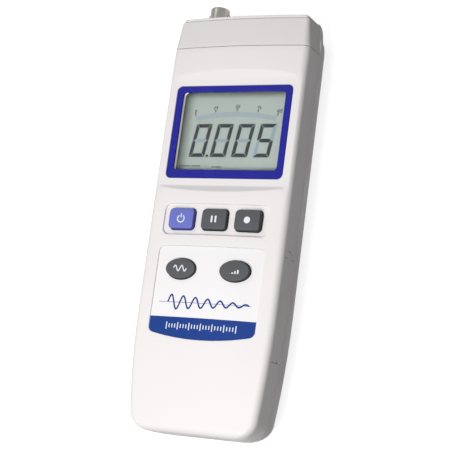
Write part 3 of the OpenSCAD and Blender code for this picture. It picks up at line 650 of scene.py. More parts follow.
# Key, material, colour by its property or its levels, roughness, metal, mottle, grain and wear
FINISH_ROWS = (
    ("shell", "moulded_shell", "shell", 0.46, 0.0, (18, 0.012), (2600, 0.35, 0.00004), (35, 0.42, 0.52)),
    # Dark well walls: partly a black mask, partly painted shade standing in for the deep well's shadow
    ("well", "display_well", (44, 50, 50), 0.6, 0.0, (60, 0.05), (2000, 0.2), ()),
    # The cap's darker grey is partly its own tone and partly painted shade
    ("cap", "moulded_cap", "cap", 0.46, 0.0, (18, 0.012), (2600, 0.35, 0.00004), (35, 0.42, 0.52)),
    ("bezel", "gloss_blue", "bezel", 0.22, 0.0, (30, 0.03), (900, 0.1, 0.00002), (60, 0.18, 0.28)),
    ("key_blue", "key_blue", "key_blue", 0.42, 0.0, (120, 0.02), (3000, 0.3, 0.00003), (90, 0.38, 0.5)),
    ("key_grey", "key_grey", "key_grey", 0.45, 0.0, (120, 0.03), (3000, 0.3, 0.00003), (90, 0.4, 0.52)),
    # Darker copies of the key colours for the keys' steep side walls: painted shade
    ("key_blue_wall", "key_blue_wall", (78, 78, 150), 0.5, 0.0, (120, 0.03), (3000, 0.3, 0.00003),
     (90, 0.45, 0.56)),
    ("key_grey_wall", "key_grey_wall", (58, 60, 62), 0.5, 0.0, (120, 0.03), (3000, 0.3, 0.00003),
     (90, 0.45, 0.56)),
    ("label", "label_film", "label", 0.4, 0.0, (40, 0.008), (1500, 0.12, 0.00002), (50, 0.36, 0.46)),
    ("band", "label_band", "band", 0.35, 0.0, (40, 0.03), (1500, 0.12, 0.00002), (50, 0.3, 0.42)),
    ("print", "key_print", (222, 224, 230), 0.5, 0.0, (200, 0.02), (), ()),
    ("digits", "display_segments", "digits", 0.4, 0.0, (60, 0.04), (), ()),
    ("ghost", "display_idle", (106, 117, 126), 0.4, 0.0, (60, 0.01), (), ()),
    ("lcd", "display_glass", "lcd", 0.35, 0.0, (16, 0.025), (5000, 0.2, 0.00001), (40, 0.3, 0.42)),
    ("nickel", "nickel", (160, 156, 149), 0.32, 1.0, (150, 0.04), (1800, 0.1, 0.00002), (200, 0.26, 0.4)),
    ("brass", "gold_contact", (214, 178, 98), 0.25, 1.0, (200, 0.05), (), (200, 0.18, 0.32)),
    ("steel", "zinc_screw", (160, 160, 158), 0.35, 1.0, (300, 0.06), (), (300, 0.28, 0.45)),
    ("ptfe", "socket_insulator", (236, 234, 228), 0.5, 0.0, (200, 0.01), (1500, 0.1), ()),
    ("black", "black_plastic", (30, 30, 32), 0.45, 0.0, (90, 0.08), (2000, 0.3), (90, 0.4, 0.55)),
    ("rubber", "black_rubber", (38, 38, 40), 0.7, 0.0, (90, 0.06), (1200, 0.4), (90, 0.65, 0.8)),
    ("board", "board_green", (22, 84, 50), 0.4, 0.0, (260, 0.12), (900, 0.4), (90, 0.35, 0.5)),
    ("chip", "chip_epoxy", (34, 34, 36), 0.55, 0.0, (200, 0.08), (2500, 0.4), ()),
    ("can", "aluminium_can", (186, 187, 190), 0.3, 1.0, (200, 0.04), (), (200, 0.25, 0.4)),
    ("battery", "battery_jacket", (52, 54, 58), 0.35, 0.4, (60, 0.08), (700, 0.15), (60, 0.28, 0.42)),
    ("lead_red", "lead_insulation", (176, 30, 28), 0.45, 0.0, (200, 0.04), (900, 0.2), ()),
    ("white_plastic", "white_plastic", (232, 232, 228), 0.45, 0.0, (80, 0.012), (2000, 0.25), ()),
)
SPECULAR = 0.15
PANE_IOR = 1.18

# Where the painted shadow on the display's left and upper edges starts and ends, in metres, and how dark it gets
PAINTED_SHADOW_LEFT, PAINTED_SHADOW_TOP = (-0.0281, -0.0215, 0.1), (0.0582, 0.0552, 0.35)


class Finish:
    """A material with its principled shader and short ways to wire it."""

    def __init__(self, name, base, roughness, metallic=0.0):
        self.material = bpy.data.materials.new(name)
        self.material.use_nodes = True
        self.nodes = self.material.node_tree.nodes
        self.links = self.material.node_tree.links
        self.shader = self.nodes["Principled BSDF"]
        self.base = base
        for socket, value in (("Base Color", (*base, 1)), ("Roughness", roughness), ("Metallic", metallic),
                              ("Specular IOR Level", SPECULAR)):
            self.shader.inputs[socket].default_value = value

    def add(self, kind, **values):
        return new_node(self.nodes, "ShaderNode" + kind, **values)

    def noise(self, scale, detail=3.0, roughness=0.5):
        node = self.add("TexNoise", Scale=scale, Detail=detail, Roughness=roughness)
        self.links.new(self.add("TexCoord").outputs["Object"], node.inputs["Vector"])
        return node.outputs["Fac"]

    def ranged(self, value, low, high, to_low, to_high):
        node = self.add("MapRange", From_Min=low, From_Max=high, To_Min=to_low, To_Max=to_high)
        self.links.new(value, node.inputs["Value"])
        return node.outputs["Result"]

    def mottle(self, scale, amount):
        """Slow change of the colour over the piece."""
        mix = self.add("Mix")
        mix.data_type = "RGBA"
        factor, darker, lighter = mix.inputs[0], mix.inputs[6], mix.inputs[7]
        darker.default_value = (*(c * (1 - amount) for c in self.base), 1)
        lighter.default_value = (*(min(1.0, c * (1 + amount)) for c in self.base), 1)
        self.links.new(self.ranged(self.noise(scale), 0.3, 0.7, 0.0, 1.0), factor)
        self.links.new(mix.outputs[2], self.shader.inputs["Base Color"])
        return self

    def paint_edge_shadow(self):
        """Painted shadow: darker left and upper edges, where the thick cover's walls shade the display."""
        split, both, shadow_scale = self.add("SeparateXYZ"), self.add("Math"), self.add("VectorMath")
        both.operation, shadow_scale.operation = "MULTIPLY", "SCALE"
        self.links.new(self.add("TexCoord").outputs["Object"], split.inputs[0])
        self.links.new(self.ranged(split.outputs["X"], *PAINTED_SHADOW_LEFT, 1.0), both.inputs[0])
        self.links.new(self.ranged(split.outputs["Y"], *PAINTED_SHADOW_TOP, 1.0), both.inputs[1])
        base = self.shader.inputs["Base Color"]
        self.links.new(base.links[0].from_socket, shadow_scale.inputs[0])
        self.links.new(both.outputs[0], shadow_scale.inputs["Scale"])
        self.links.new(shadow_scale.outputs[0], base)

    def grain(self, scale, strength, distance=0.00005):
        """Fine moulded texture."""
        bump = self.add("Bump", Strength=strength, Distance=distance)
        self.links.new(self.noise(scale, roughness=0.6), bump.inputs["Height"])
        self.links.new(bump.outputs["Normal"], self.shader.inputs["Normal"])

    def worn(self, scale, low, high):
        """Roughness that changes slowly between two values."""
        self.links.new(self.ranged(self.noise(scale, 4.0), 0.35, 0.65, low, high), self.shader.inputs["Roughness"])


FINISHES = {}


def finishes():
    """All finishes by name, made once."""
    if FINISHES:
        return FINISHES
    for key, name, base, roughness, metallic, mottle, grain, worn in FINISH_ROWS:
        if isinstance(base, str):
            base = getattr(bpy.context.scene.meter_colours, base)
        else:
            base = tone(base)
        made = Finish(name, base, roughness, metallic).mottle(*mottle)
        if grain:
            made.grain(*grain)
        if worn:
            made.worn(*worn)
        # The display glass gets a painted shadow along its left and upper edges
        if key == "lcd":
            made.paint_edge_shadow()
        FINISHES[key] = made.material
    FINISHES["pane"] = pane_finish()
    return FINISHES


def pane_finish():
    """Clear window: glass that lets lamps through."""
    made = Finish("window_clear", (1.0, 1.0, 1.0), 0.04)
    made.shader.inputs["Transmission Weight"].default_value = 1.0
    made.shader.inputs["IOR"].default_value = PANE_IOR
    mix, clear = made.add("MixShader"), made.add("BsdfTransparent", Color=(0.94, 0.95, 0.95, 1))
    made.links.new(made.add("LightPath").outputs["Is Shadow Ray"], mix.inputs[0])
    made.links.new(made.shader.outputs[0], mix.inputs[1])
    made.links.new(clear.outputs[0], mix.inputs[2])
    made.links.new(mix.outputs[0], made.nodes["Material Output"].inputs["Surface"])
    return made.material


# Front shell

STATION_STEP = 3.0
FACE_STEP = 3.0
SKIN_STEP = 2.5
CREST_Z = 33.5
TUB_DEPTH = 8.0
PANEL = (55.0, 15.2, 3.3, 0.0, ROW_Y)
POCKET = (61.8, 46.7, 2.75, 0.0, FRAME_Y)
PANE_SEAT = (58.8, 43.4, 2.6, 0.0, WINDOW_Y)
WELL = (56.1, 40.7, 2.6, 0.0, WINDOW_Y)
KEY = (13.0, 9.9, 1.8)
OVAL = (15.4, 9.9)
RAMP_W, RAMP_REACH = 33.2, 31.0
RAMP_EDGES = (-0.45, -0.22, 0.0, 0.22, 0.45)
BELOW_DISPLAY = 112.0
KEYS_LOW, KEYS_HIGH = 65.0, 110.0
PLAIN_X, PLAIN_SHARE = 29.0, 0.7

# Place along the housing and bore radius of each jack and control of the left side
JACKS = ((71.0, 2.5), (81.0, 2.5), (89.5, 1.3), (99.0, 2.2))

# Depth of each recess, radius of its edge and radius of its floor
PANEL_CUT = (1.3, 0.3, 0.25)
LABEL_CUT = (0.95, 0.25, 0.1)
HOLE_CUT = (0.25, 0.25)
HOLE_RINGS = (0.25, 0.18, 0.11, 0.05)
POCKET_CUT = (1.0, 0.12)
SEAT_CUT = (1.0, 0.05)


def stations(last):
    """Places along the housing where its outline is taken, closer together at the lower end and the seam."""
    ys = [size("corner_r") * (1 - math.cos(math.radians(90 * k / 14))) for k in range(15)]
    for mark in (SIDE_LOW, SIDE_HIGH, SIDE_TIP, last - SEAM_EDGE):
        start = ys[-1]
        n = max(1, math.ceil((mark - start) / STATION_STEP))
        ys += [start + (mark - start) * k / n for k in range(1, n + 1)]
    return ys + [last - mark for mark in SEAM_MARKS]


def seam_drop(y):
    """Depth of the rounded edges of the seam between the front shell and the cap."""
    reach = abs(SEAM_Y - y)
    return arc_drop(SEAM_EDGE, reach) if reach > SEAM_GAP else SEAM_DEPTH


def front_side(y, inset, drop=0.0, steps=10):
    """Right half of the front outline from the parting line to the crest's start."""
    edge = 0.0 if inset else seam_drop(y)
    w = half_w(y) - inset - edge
    top = face_z(y) - inset - drop - edge
    r = edge_radius(y) - inset / 2
    x_arc = w - SIDE_DRAFT - r
    z_arc = top - crown(x_arc) - r
    row = [(w - (0.0 if inset else PART_EDGE), PART_Z)]
    for k, z in enumerate((PART_Z + PART_EDGE,) + SIDE_Z):
        z = min(z, z_arc - 0.1 * (4 - k))
        row.append((w - SIDE_DRAFT * (z - PART_Z) / (z_arc - PART_Z), z))
    return row + arc(x_arc, z_arc, r, 0, 90, steps)


def crest_x(y, inset=0.0):
    return front_side(y, inset)[-1][0]


def y_inside(y):
    return y if y > TUB_DEPTH else WALL + y * (TUB_DEPTH - WALL) / TUB_DEPTH


def face_inside(x, y):
    """Point of the inner skin under the point x, y of the face, drawn inwards only near the edge."""
    yi = y_inside(y)
    edge, edge_in = crest_x(y), crest_x(yi, WALL)
    free = min(PLAIN_X, PLAIN_SHARE * edge)
    t = max(0.0, (abs(x) - free) / (edge - free))
    xi = math.copysign(abs(x) + t * (edge_in - edge), x)
    return xi, yi, min(face_z(yi) - WALL - crown(xi), scoop_z(yi) - PAD)


def key_holes(grow):
    loops = [round_rect(*KEY, x, ROW_Y, KEY_GAP + grow) for x in ROW_X]
    return loops + [oval(*OVAL, x, OVAL_Y, KEY_GAP + grow) for x in OVAL_X]


class FrontForm:
    """Height of the front face with all its recesses."""

    def __init__(self):
        self.panel, self.pocket, self.seat = (sd_round_rect(*shape) for shape in (PANEL, POCKET, PANE_SEAT))
        hole = (KEY[0] + 2 * KEY_GAP, KEY[1] + 2 * KEY_GAP, KEY[2] + KEY_GAP)
        self.holes = [sd_round_rect(*hole, x, ROW_Y) for x in ROW_X]
        self.holes += [sd_oval(OVAL[0] + 2 * KEY_GAP, OVAL[1] + 2 * KEY_GAP, x, OVAL_Y) for x in OVAL_X]

    def height(self, x, y):
        z = top_z(x, y) - seam_drop(y)
        if y >= BELOW_DISPLAY:
            return z - recess(self.pocket(x, y), *POCKET_CUT) - recess(self.seat(x, y), *SEAT_CUT)
        z -= recess(self.panel(x, y), *PANEL_CUT) + recess(sd_label(x, y) - GAP, *LABEL_CUT)
        if KEYS_LOW < y < KEYS_HIGH:
            z -= recess(min(hole(x, y) for hole in self.holes), *HOLE_CUT)
        return z


def front_face():
    """Border, loops, lines and holes of the front face, and the stations along it."""
    ys = stations(SEAM_Y)
    right = [(crest_x(y), y) for y in ys]
    border = right + across(right[-1][0], SEAM_Y)[-2:0:-1]
    border += [(-x, y) for x, y in reversed(right)] + across(right[0][0], 0.0, 16)[1:-1]
    loops = [round_rect(*PANEL, grow=o) for o in recess_offsets(*PANEL_CUT[1:])]
    loops += [label_outline(GAP + o) for o in recess_offsets(*LABEL_CUT[1:])]
    loops += [round_rect(*POCKET, grow=o) for o in recess_offsets(*POCKET_CUT[1:])]
    loops += [round_rect(*PANE_SEAT, grow=o) for o in (SEAT_CUT[1], 0.0, -RECESS_DRAFT)]
    for o in HOLE_RINGS:
        loops += key_holes(o)
    lines = [across(crest_x(y) - 1.2, y) for y in ys[1:22] if y < 40]
    lines += [across(crest_x(y) - 0.3, y) for y in (SEAM_Y - SEAM_EDGE * share for share in (1.0, 0.6, 0.25))]
    rises = [(x, FACE_Z - DISPLAY_Z - crown(x)) for x, _ in across(RAMP_REACH, 0.0, 36)]
    for o in RAMP_EDGES:
        lines += [across(RAMP_W, RAMP_LOW_Y + o, 36), across(RAMP_W, RAMP_HIGH_Y + o, 36)]
        lines.append([(x, RAMP_LOW_Y - rise / RAMP_LOW + o) for x, rise in rises])
        lines.append([(x, RAMP_HIGH_Y + math.sqrt(rise / RAMP_BOW) + o) for x, rise in rises])
    for share in (0.25, 0.45, 0.65, 0.82):
        lines.append([(x, RAMP_HIGH_Y + share * math.sqrt(rise / RAMP_BOW)) for x, rise in rises])
    return border, loops, lines, key_holes(0.0) + [round_rect(*WELL)], ys


def in_cover_opening(y, j):
    """Whether the j-th strip of the right side at y is left open for the side cover."""
    return SIDE_LOW < y and (y < SIDE_HIGH and j < 4 or y < SIDE_TIP and j == 2)


def build_front_shell():
    border, loops, lines, holes, ys = front_face()
    plan, faces = triangulate(border, loops, lines, holes, FACE_STEP)
    form = FrontForm()
    outer = [(x, y, form.height(x, y)) for x, y in plan]
    inner = [face_inside(x, y) for x, y in plan]
    for side in (1, -1):
        start = len(outer)
        for y in ys:
            ring, ring_in = front_side(y, 0), front_side(y_inside(y), WALL)
            outer += [(side * x, y, min(z, top_z(x, y)) if z > CREST_Z else z) for x, z in ring]
            inner += [(side * x, y_inside(y), min(z, scoop_z(y) - PAD)) for x, z in ring_in]
        count = (len(outer) - start) // len(ys)
        for k, quad in enumerate(quads(len(ys), count, start, ring=False)):
            row, j = divmod(k, count - 1)
            if side == 1 and in_cover_opening((ys[row] + ys[row + 1]) / 2, j):
                continue
            faces.append(quad if side == -1 else quad[::-1])
    faces.append(end_wall(outer, 0.0))
    points, body = thicken(outer, inner, faces)
    obj = new_object("front_shell", points, body, [finishes()["shell"], finishes()["well"]])
    carve(obj, [cylinder("bore", r, (-45.0, y, JACK_Z), (1, 0, 0), 16.0) for y, r in JACKS])
    # The well's walls below the display take the dark finish, painted shade of the deep well
    well = sd_round_rect(*WELL)
    for face in obj.data.polygons:
        x, y, z = (c / MM for c in face.center)
        if z < DISPLAY_Z - 2 and abs(well(x, y - SHIFT_Y)) < 0.08:
            face.material_index = 1
    return finish(obj, "housing", "shell", "front_case")


def end_wall(points, y):
    """Face that closes the skin's outline at the end y, from the points that lie there."""
    found = {}
    for k, p in enumerate(points):
        if abs(p[1] - y) < 1e-6:
            found.setdefault((round(p[0], 4), round(p[2], 4)), k)
    keys = sorted(found, key=lambda p: math.atan2(p[1] - PART_Z - 1e-4, p[0]))
    return tuple(found[k] for k in keys)


class METER_OT_front_shell(bpy.types.Operator):
    """Build the front shell with its recesses, key openings and display area"""
    bl_idname = "meter.front_shell"
    bl_label = "Front shell"

    def execute(self, context):
        build_front_shell()
        return {"FINISHED"}


# End cap

LIP_IN = 0.8
CAP_STATIONS = (189.0, 191.0, 193.0, BACK_SEAM_Y, 196.0, 197.5, 199.0, 200.2)


def full_ring(y, inset=0.0, drop=0.0):
    """Whole outline at the station y, split into the front half and the rear half."""
    side = front_side(y, inset, drop)
    side[0] = (side[1][0], PART_Z)
    x_arc = side[-1][0]
    top = side[-1][1] + crown(x_arc)
    crest = [(x, top - crown(x)) for x, _ in across(x_arc, 0.0)[-2:0:-1]]
    front = side + crest + [(-x, z) for x, z in reversed(side)]
    low = back_z(y) + inset
    z_arc = low + BACK_R
    x_high, x_low = rear_x(y, z_arc) - inset, rear_x(y, low) - inset
    half = [(rear_x(y, z) - inset, z) for z in (PART_Z + (z_arc - PART_Z) * k / 8 for k in range(9))]
    half[0] = side[0]
    for k in range(1, 9):
        u = k / 8
        v = 1 - u
        half.append((v * v * x_high + 2 * u * v * x_low + u * u * (x_low - BACK_R),
                     v * v * z_arc + (1 - v * v) * low))
    back = [(x, low) for x, _ in across(half[-1][0], 0.0, 16)[-2:0:-1]]
    return front, half + back + [(-x, z) for x, z in reversed(half)]


def build_cap():
    """Cap with a rounded seam edge, a groove along its lip and a flat end that carries the socket."""
    lip = LENGTH - LIP_W
    groove = (lip - 0.2, lip, lip + 0.35, lip + 0.5, LENGTH - END_EDGE)
    ys = [SEAM_Y + mark for mark in reversed((SEAM_EDGE,) + SEAM_MARKS)]
    ys += CAP_STATIONS + groove[:-1]
    ys += [LENGTH - END_EDGE * (1 - math.sin(math.radians(a))) for a in (0, 22, 45, 67, 90)]
    outer, inner, faces = [], [], []
    for half, low in enumerate((SEAM_Y, BACK_SEAM_Y)):
        start = len(outer)
        chosen = [y for y in ys if y >= low]
        for y in chosen:
            edge = END_EDGE * (1 - math.cos(math.asin(max(0.0, 1 - (LENGTH - y) / END_EDGE))))
            if half == 0:
                edge += LIP_IN * float(np.interp(y, groove, (0, 1, 1, 1, 1)))
            shrink = 1 - edge / HALF_W
            step = size("lip_step") * float(np.interp(y, groove, (0, 1, 1, 0.2, -0.5)))
            y_in = min(y, LENGTH - END_WALL)
            outer += [(x * shrink, y, PART_Z + (z - PART_Z) * shrink) for x, z in full_ring(y, 0.0, step)[half]]
            inner += [(x, y_in, z) for x, z in full_ring(y_in, WALL)[half]]
        faces += quads(len(chosen), (len(outer) - start) // len(chosen), start, ring=False)
    faces.append(end_wall(outer, LENGTH))
    points, body = thicken(outer, inner, faces)
    obj = new_object("cap_shell", points, body, [finishes()["cap"]])
    carve(obj, [cylinder("bore", 4.9, (SOCKET_X, LENGTH - 5, SOCKET_Z), (0, 1, 0), 10.0)])
    return finish(obj, "housing", "cap", "end_cap")


class METER_OT_cap(bpy.types.Operator):
    """Build the end cap with the groove along its lip"""
    bl_idname = "meter.cap"
    bl_label = "End cap"

    def execute(self, context):
        build_cap()
        return {"FINISHED"}


# Window

BEZEL = (61.5, 46.4, 2.6, 0.0, FRAME_Y)
BEZEL_HOLE = (54.5, 39.1, 1.7, 0.0, WINDOW_Y)
BEZEL_EDGE, BEZEL_T = 0.35, 1.0


def build_window():
    steps = (0.06, 0.14, 0.25, BEZEL_EDGE)
    loops = [round_rect(*BEZEL, -o) for o in steps] + [round_rect(*BEZEL_HOLE, o) for o in steps]
    plan, faces = triangulate(round_rect(*BEZEL), loops, [], [round_rect(*BEZEL_HOLE)], SKIN_STEP)
    bezel, hole = sd_round_rect(*BEZEL), sd_round_rect(*BEZEL_HOLE)
    outer = [(x, y, DISPLAY_Z - arc_drop(BEZEL_EDGE, max(0.0, min(-bezel(x, y), hole(x, y))))) for x, y in plan]
    inner = [(x, y, DISPLAY_Z - BEZEL_T) for x, y in plan]
    points, body = thicken(outer, inner, faces)
    frame_piece = new_object("window_bezel", points, body, [finishes()["bezel"]])
    finish(frame_piece, "housing", "frame_blue", "window_frame")
    dress("window_pane", finishes()["pane"])


class METER_OT_window(bpy.types.Operator):
    """Build the blue window frame and finish the clear pane"""
    bl_idname = "meter.window"
    bl_label = "Window"

    def execute(self, context):
        build_window()
        return {"FINISHED"}


# Display: plain numbers, a dial of ticks and its idle bars

LIT = {"0": "abcdef", "1": "bc", "2": "abged", "5": "afgcd", "7": "abc"}
DIGIT_W, DIGIT_LINE, DIGIT_PITCH = 8.5, 1.85, 11.4
DIGIT_PLACE = (-21.5, 132.6)
DIGIT_LEAN = 0.145
POINT = ((9.2, 0.0), (10.5, 0.0), (10.7, 1.2), (9.4, 1.2))
DIAL_X, DIAL_R, DIAL_TOP = 1.1, 99.4, 154.3
DIAL_MARKS = ((-20.2, "0"), (-9.8, "25"), (1.4, "50"), (12.4, "75"), (22.7, "100"))
DIAL_LOW, DIAL_WIDTH, DIAL_BARS = -19.9, 41.8, 52
MARK_DIGIT = (0.95, 1.6, 0.36, 1.25)
SINK, LIT_RISE, IDLE_RISE = -0.05, 0.04, 0.02


def segment_shapes(w, h, t, g):
    """The seven strokes of a digit as outlines from its lower left corner."""
    b = [(w, h - g), (w, h / 2 + g), (w - t / 2, h / 2 + g), (w - t, h / 2 + t / 2 + g), (w - t, h - t - g)]
    shapes = {"a": [(g, h), (w - g, h), (w - t - g, h - t), (t + g, h - t)], "b": b,
              "g": [(t / 2 + g, h / 2), (t + g, h / 2 + t / 2), (w - t - g, h / 2 + t / 2),
                    (w - t / 2 - g, h / 2), (w - t - g, h / 2 - t / 2), (t + g, h / 2 - t / 2)]}
    shapes["d"] = [(x, h - y) for x, y in shapes["a"]]
    shapes["c"] = [(x, h - y) for x, y in b]
    shapes["f"] = [(w - x, y) for x, y in b]
    shapes["e"] = [(w - x, h - y) for x, y in b]
    return shapes


def number(text, x, y, w, h, line, pitch):
    """Lit and idle strokes of a number whose lower left corner is at x, y."""
    lit, idle = [], []
    for k, digit in enumerate(text):
        for key, shape in segment_shapes(w, h, line, line * 0.08).items():
            placed = [(x + k * pitch + px + DIGIT_LEAN * py, y + py) for px, py in shape]
            (lit if key in LIT[digit] else idle).append(placed)
    return lit, idle


def dial_point(x, out=0.0):
    """Point of the dial's arc at x, moved outwards, and its lean."""
    lean = math.asin((x - DIAL_X) / DIAL_R)
    r = DIAL_R + out
    return DIAL_X + r * math.sin(lean), DIAL_TOP - DIAL_R + r * math.cos(lean), -lean


def on_dial(x, out, dims):
    """Place, turn and size of a bar on the dial at x."""
    px, py, turn = dial_point(x, out)
    return (px, py, GLASS_TOP), (0, 0, turn), dims


def show(piece):
    finish(piece, "housing", "lcd")


def build_display():
    x, y = DIGIT_PLACE
    lit, idle = number("0005", x, y, DIGIT_W, size("digit_height"), DIGIT_LINE, DIGIT_PITCH)
    lit.append([(x + px, y + py) for px, py in POINT])
    for place, text in DIAL_MARKS:
        px, py, _ = dial_point(place, 2.9)
        lit += number(text, px - 0.55 * len(text), py, *MARK_DIGIT)[0]
    for name, loops, rise, material in (("display_digits", lit, LIT_RISE, "digits"),
                                        ("display_idle_strokes", idle, IDLE_RISE, "ghost")):
        show(plates(name, loops, lambda x, y: GLASS_TOP + SINK, lambda x, y: GLASS_TOP + rise, material))
    ticks = [on_dial(place, 2.0, (0.5, 1.2, 0.08)) for place, _ in DIAL_MARKS]
    ticks += [((x, 128.1, GLASS_TOP), (0, 0, 0), (0.32, 0.9, 0.08))
              for x in (-25.8 + 0.62 * k for k in range(19)) if not -19.9 < x < -19.0]
    ticks += [((-8.0 + 0.6 * k, 127.7, GLASS_TOP), (0, 0, 0), (0.32, 0.8, 0.08)) for k in range(9)]
    show(repeat("display_ticks", block("tick", 1, 1, 1), ticks, "digits"))
    bars = [on_dial(DIAL_LOW + DIAL_WIDTH * k / (DIAL_BARS - 1), -0.2, (0.5, 2.6, 0.05)) for k in range(DIAL_BARS)]
    show(repeat("display_dial_bars", block("bar", 1, 1, 1), bars, "ghost"))


class METER_OT_display(bpy.types.Operator):
    """Build the numbers, the dial and the idle bars on the display glass"""
    bl_idname = "meter.display"
    bl_label = "Display"

    def execute(self, context):
        build_display()
        return {"FINISHED"}


# Sensor socket

def build_socket():
    """Barrel with a flange, a rounded mouth and two lugs, and its insulator with the contact."""
    end = LENGTH + SOCKET_OUT
    # Outlines of the turned parts as radius and place along the housing
    barrel = [(6.4, LENGTH), (6.4, LENGTH + 1.7), (6.1, LENGTH + 2.0), (4.7, LENGTH + 2.0), (4.45, LENGTH + 2.25),
              (4.45, LENGTH + 3.2), (4.83, LENGTH + 3.6), (4.83, end - 0.9), (4.76, end - 0.5), (4.55, end - 0.15),
              (4.4, end), (4.25, end - 0.1), (4.1, end - 0.4), (4.1, LENGTH + 2.0), (2.45, LENGTH + 2.0),
              (2.45, LENGTH - 8.6), (4.7, LENGTH - 8.6), (4.7, LENGTH)]
    points, faces = revolve(barrel, SOCKET_X, SOCKET_Z)
    obj = new_object("socket_shell", points, faces, [finishes()["nickel"]], smooth=28)
    for side in (-1, 1):
        root = (SOCKET_X + side * 4.4, end - 3.7, SOCKET_Z)
        lug = cylinder("lug", 0.95, root, (side, 0, 0), 1.23, 32, r_end=0.72)
        carve(obj, [lug], "UNION", smooth=28)
    finish(obj, "housing", "nickel", "socket_body")
    core = [(0.75, LENGTH - 8.6), (2.4, LENGTH - 8.6), (2.4, end - 2.9), (2.2, end - 2.5), (1.2, end - 2.4),
            (1.0, end - 2.7), (0.75, end - 2.7)]
    points, faces = revolve(core, SOCKET_X, SOCKET_Z, 48)
    finish(new_object("socket_core", points, faces, [finishes()["ptfe"]]), "housing", "white_plastic",
           "socket_insulator")


class METER_OT_socket(bpy.types.Operator):
    """Build the sensor socket with its lugs and insulator"""
    bl_idname = "meter.socket"
    bl_label = "Sensor socket"

    def execute(self, context):
        build_socket()
        return {"FINISHED"}


# Keys

KEY_EDGE = 0.5
KEY_FLANGE = ((1.0, 0.0), (1.0, 1.0), (0.0, 1.0))
TOP_RINGS = (-1.2, -2.2, -3.2, -4.2)
SHADED_WALL_SLOPE = 0.8
SYMBOL_SINK, SYMBOL_RISE = -0.12, 0.06


def loft_loops(loops):
    """Points and faces through closed loops with equal counts, capped at both ends."""
    n = len(loops[0])
    points = [p for loop in loops for p in loop]
    faces = quads(len(loops), n)
    faces.append(tuple(reversed(range(n))))
    faces.append(tuple(range((len(loops) - 1) * n, len(loops) * n)))
    return points, faces


def key_top_z(y, cy, h):
    """Height of a key's crowned top."""
    return KEY_TOP - size("key_crown") * ((y - cy) / (h / 2)) ** 2


def build_key(node, cx, cy, outline, h, material):
    """Key with a flange, rounded upper edge and crowned top, its steep side walls in a darker copy of its colour as
    painted shade.
    """
    loops = [[(x, y, FLANGE_Z + z) for x, y in outline(cx, cy, grow)] for grow, z in KEY_FLANGE]
    rings = []
    for k in range(6):
        a = math.pi / 2 * k / 5
        rings.append((-KEY_EDGE * (1 - math.cos(a)), KEY_EDGE * (1 - math.sin(a))))
    for grow, drop in rings + [(grow, 0.0) for grow in TOP_RINGS]:
        loops.append([(x, y, key_top_z(y, cy, h) - drop) for x, y in outline(cx, cy, grow)])
    points, faces = loft_loops(loops)
    # Steep side walls take the darker copy of the key's colour, painted shade
    both = [finishes()[material], finishes()[material + "_wall"]]
    obj = new_object(node + "_cap", points, faces, both, smooth=40)
    for face in obj.data.polygons:
        face.material_index = int(abs(face.normal.z) < SHADED_WALL_SLOPE)
    finish(obj, node, material, node)


def key_rect(cx, cy, grow):
    w, h, r = KEY[0] / 2 + grow, KEY[1] / 2 + grow, max(KEY[2] + grow, 0.25)
    loop = []
    for (qx, qy, start), (nx, ny) in zip(CORNERS, ((-1, 0), (0, -1), (1, 0), (0, 1))):
        loop += arc(cx + qx * (w - r), cy + qy * (h - r), r, start, 90)
        side = 2 * ((w if nx else h) - r)
        x, y = loop[-1]
        loop += [(x + nx * side * k / 6, y + ny * side * k / 6) for k in range(1, 6)]
    return loop


def key_oval(cx, cy, grow):
    return oval(*OVAL, cx, cy, grow, 72)


def build_keys():
    for node, x, material in zip(("power_key", "hold_key", "record_key"), ROW_X,
                                 ("key_blue", "key_grey", "key_grey")):
        build_key(node, x, ROW_Y, key_rect, KEY[1], material)
    for node, x in zip(("function_key", "unit_key"), OVAL_X):
        build_key(node, x, OVAL_Y, key_oval, OVAL[1], "key_grey")


def band(path, w):
    """Outline of a stroke of the width w along an open path."""
    left, right = [], []
    for k, (x, y) in enumerate(path):
        x0, y0 = path[max(0, k - 1)]
        x1, y1 = path[min(len(path) - 1, k + 1)]
        d = math.hypot(x1 - x0, y1 - y0)
        nx, ny = (y0 - y1) / d * w / 2, (x1 - x0) / d * w / 2
        left.append((x + nx, y + ny))
        right.append((x - nx, y - ny))
    return left + right[::-1]


def wave_path(x, y, length, height, turns, n, fade=0.0):
    """Sine wave from x to the right, which fades by the share fade."""
    return [(x + length * k / n,
             y + height * (1 - fade * k / n) * math.sin(2 * math.pi * turns * k / n)) for k in range(n + 1)]


def key_symbols():
    """Plain symbols of the keys: on and off, pause, dot, wave and steps."""
    left, mid, right = ROW_X
    bar = 0.55
    step_x, step_y = OVAL_X[1], OVAL_Y
    steps = [[(step_x + dx, step_y - 1.5), (step_x + dx, step_y - 0.5 + dx * 0.45)] for dx in (-2.1, -0.7, 0.7, 2.1)]
    return {
        "power_key": (ROW_Y, [band(arc(left, ROW_Y - 0.2, 1.75, 125, 290, 24), bar),
                              band([(left, ROW_Y + 0.2), (left, ROW_Y + 2.3)], bar)]),
        "hold_key": (ROW_Y, [band([(mid + dx, ROW_Y - 1.6), (mid + dx, ROW_Y + 1.6)], 0.9) for dx in (-1, 1)]),
        "record_key": (ROW_Y, [oval(3.2, 3.2, right, ROW_Y, n=32)]),
        "function_key": (OVAL_Y, [band(wave_path(OVAL_X[0] - 3.4, OVAL_Y, 6.8, 1.3, 2, 48), bar)]),
        "unit_key": (OVAL_Y, [band(step, 0.8) for step in steps]),
    }


def build_symbols():
    for node, (cy, loops) in key_symbols().items():
        h = KEY[1] if cy == ROW_Y else OVAL[1]
        obj = plates(node + "_symbol", loops, lambda x, y: key_top_z(y, cy, h) + SYMBOL_SINK,
                     lambda x, y: key_top_z(y, cy, h) + SYMBOL_RISE, "print")
        finish(obj, node, "key_blue" if node == "power_key" else "key_grey")


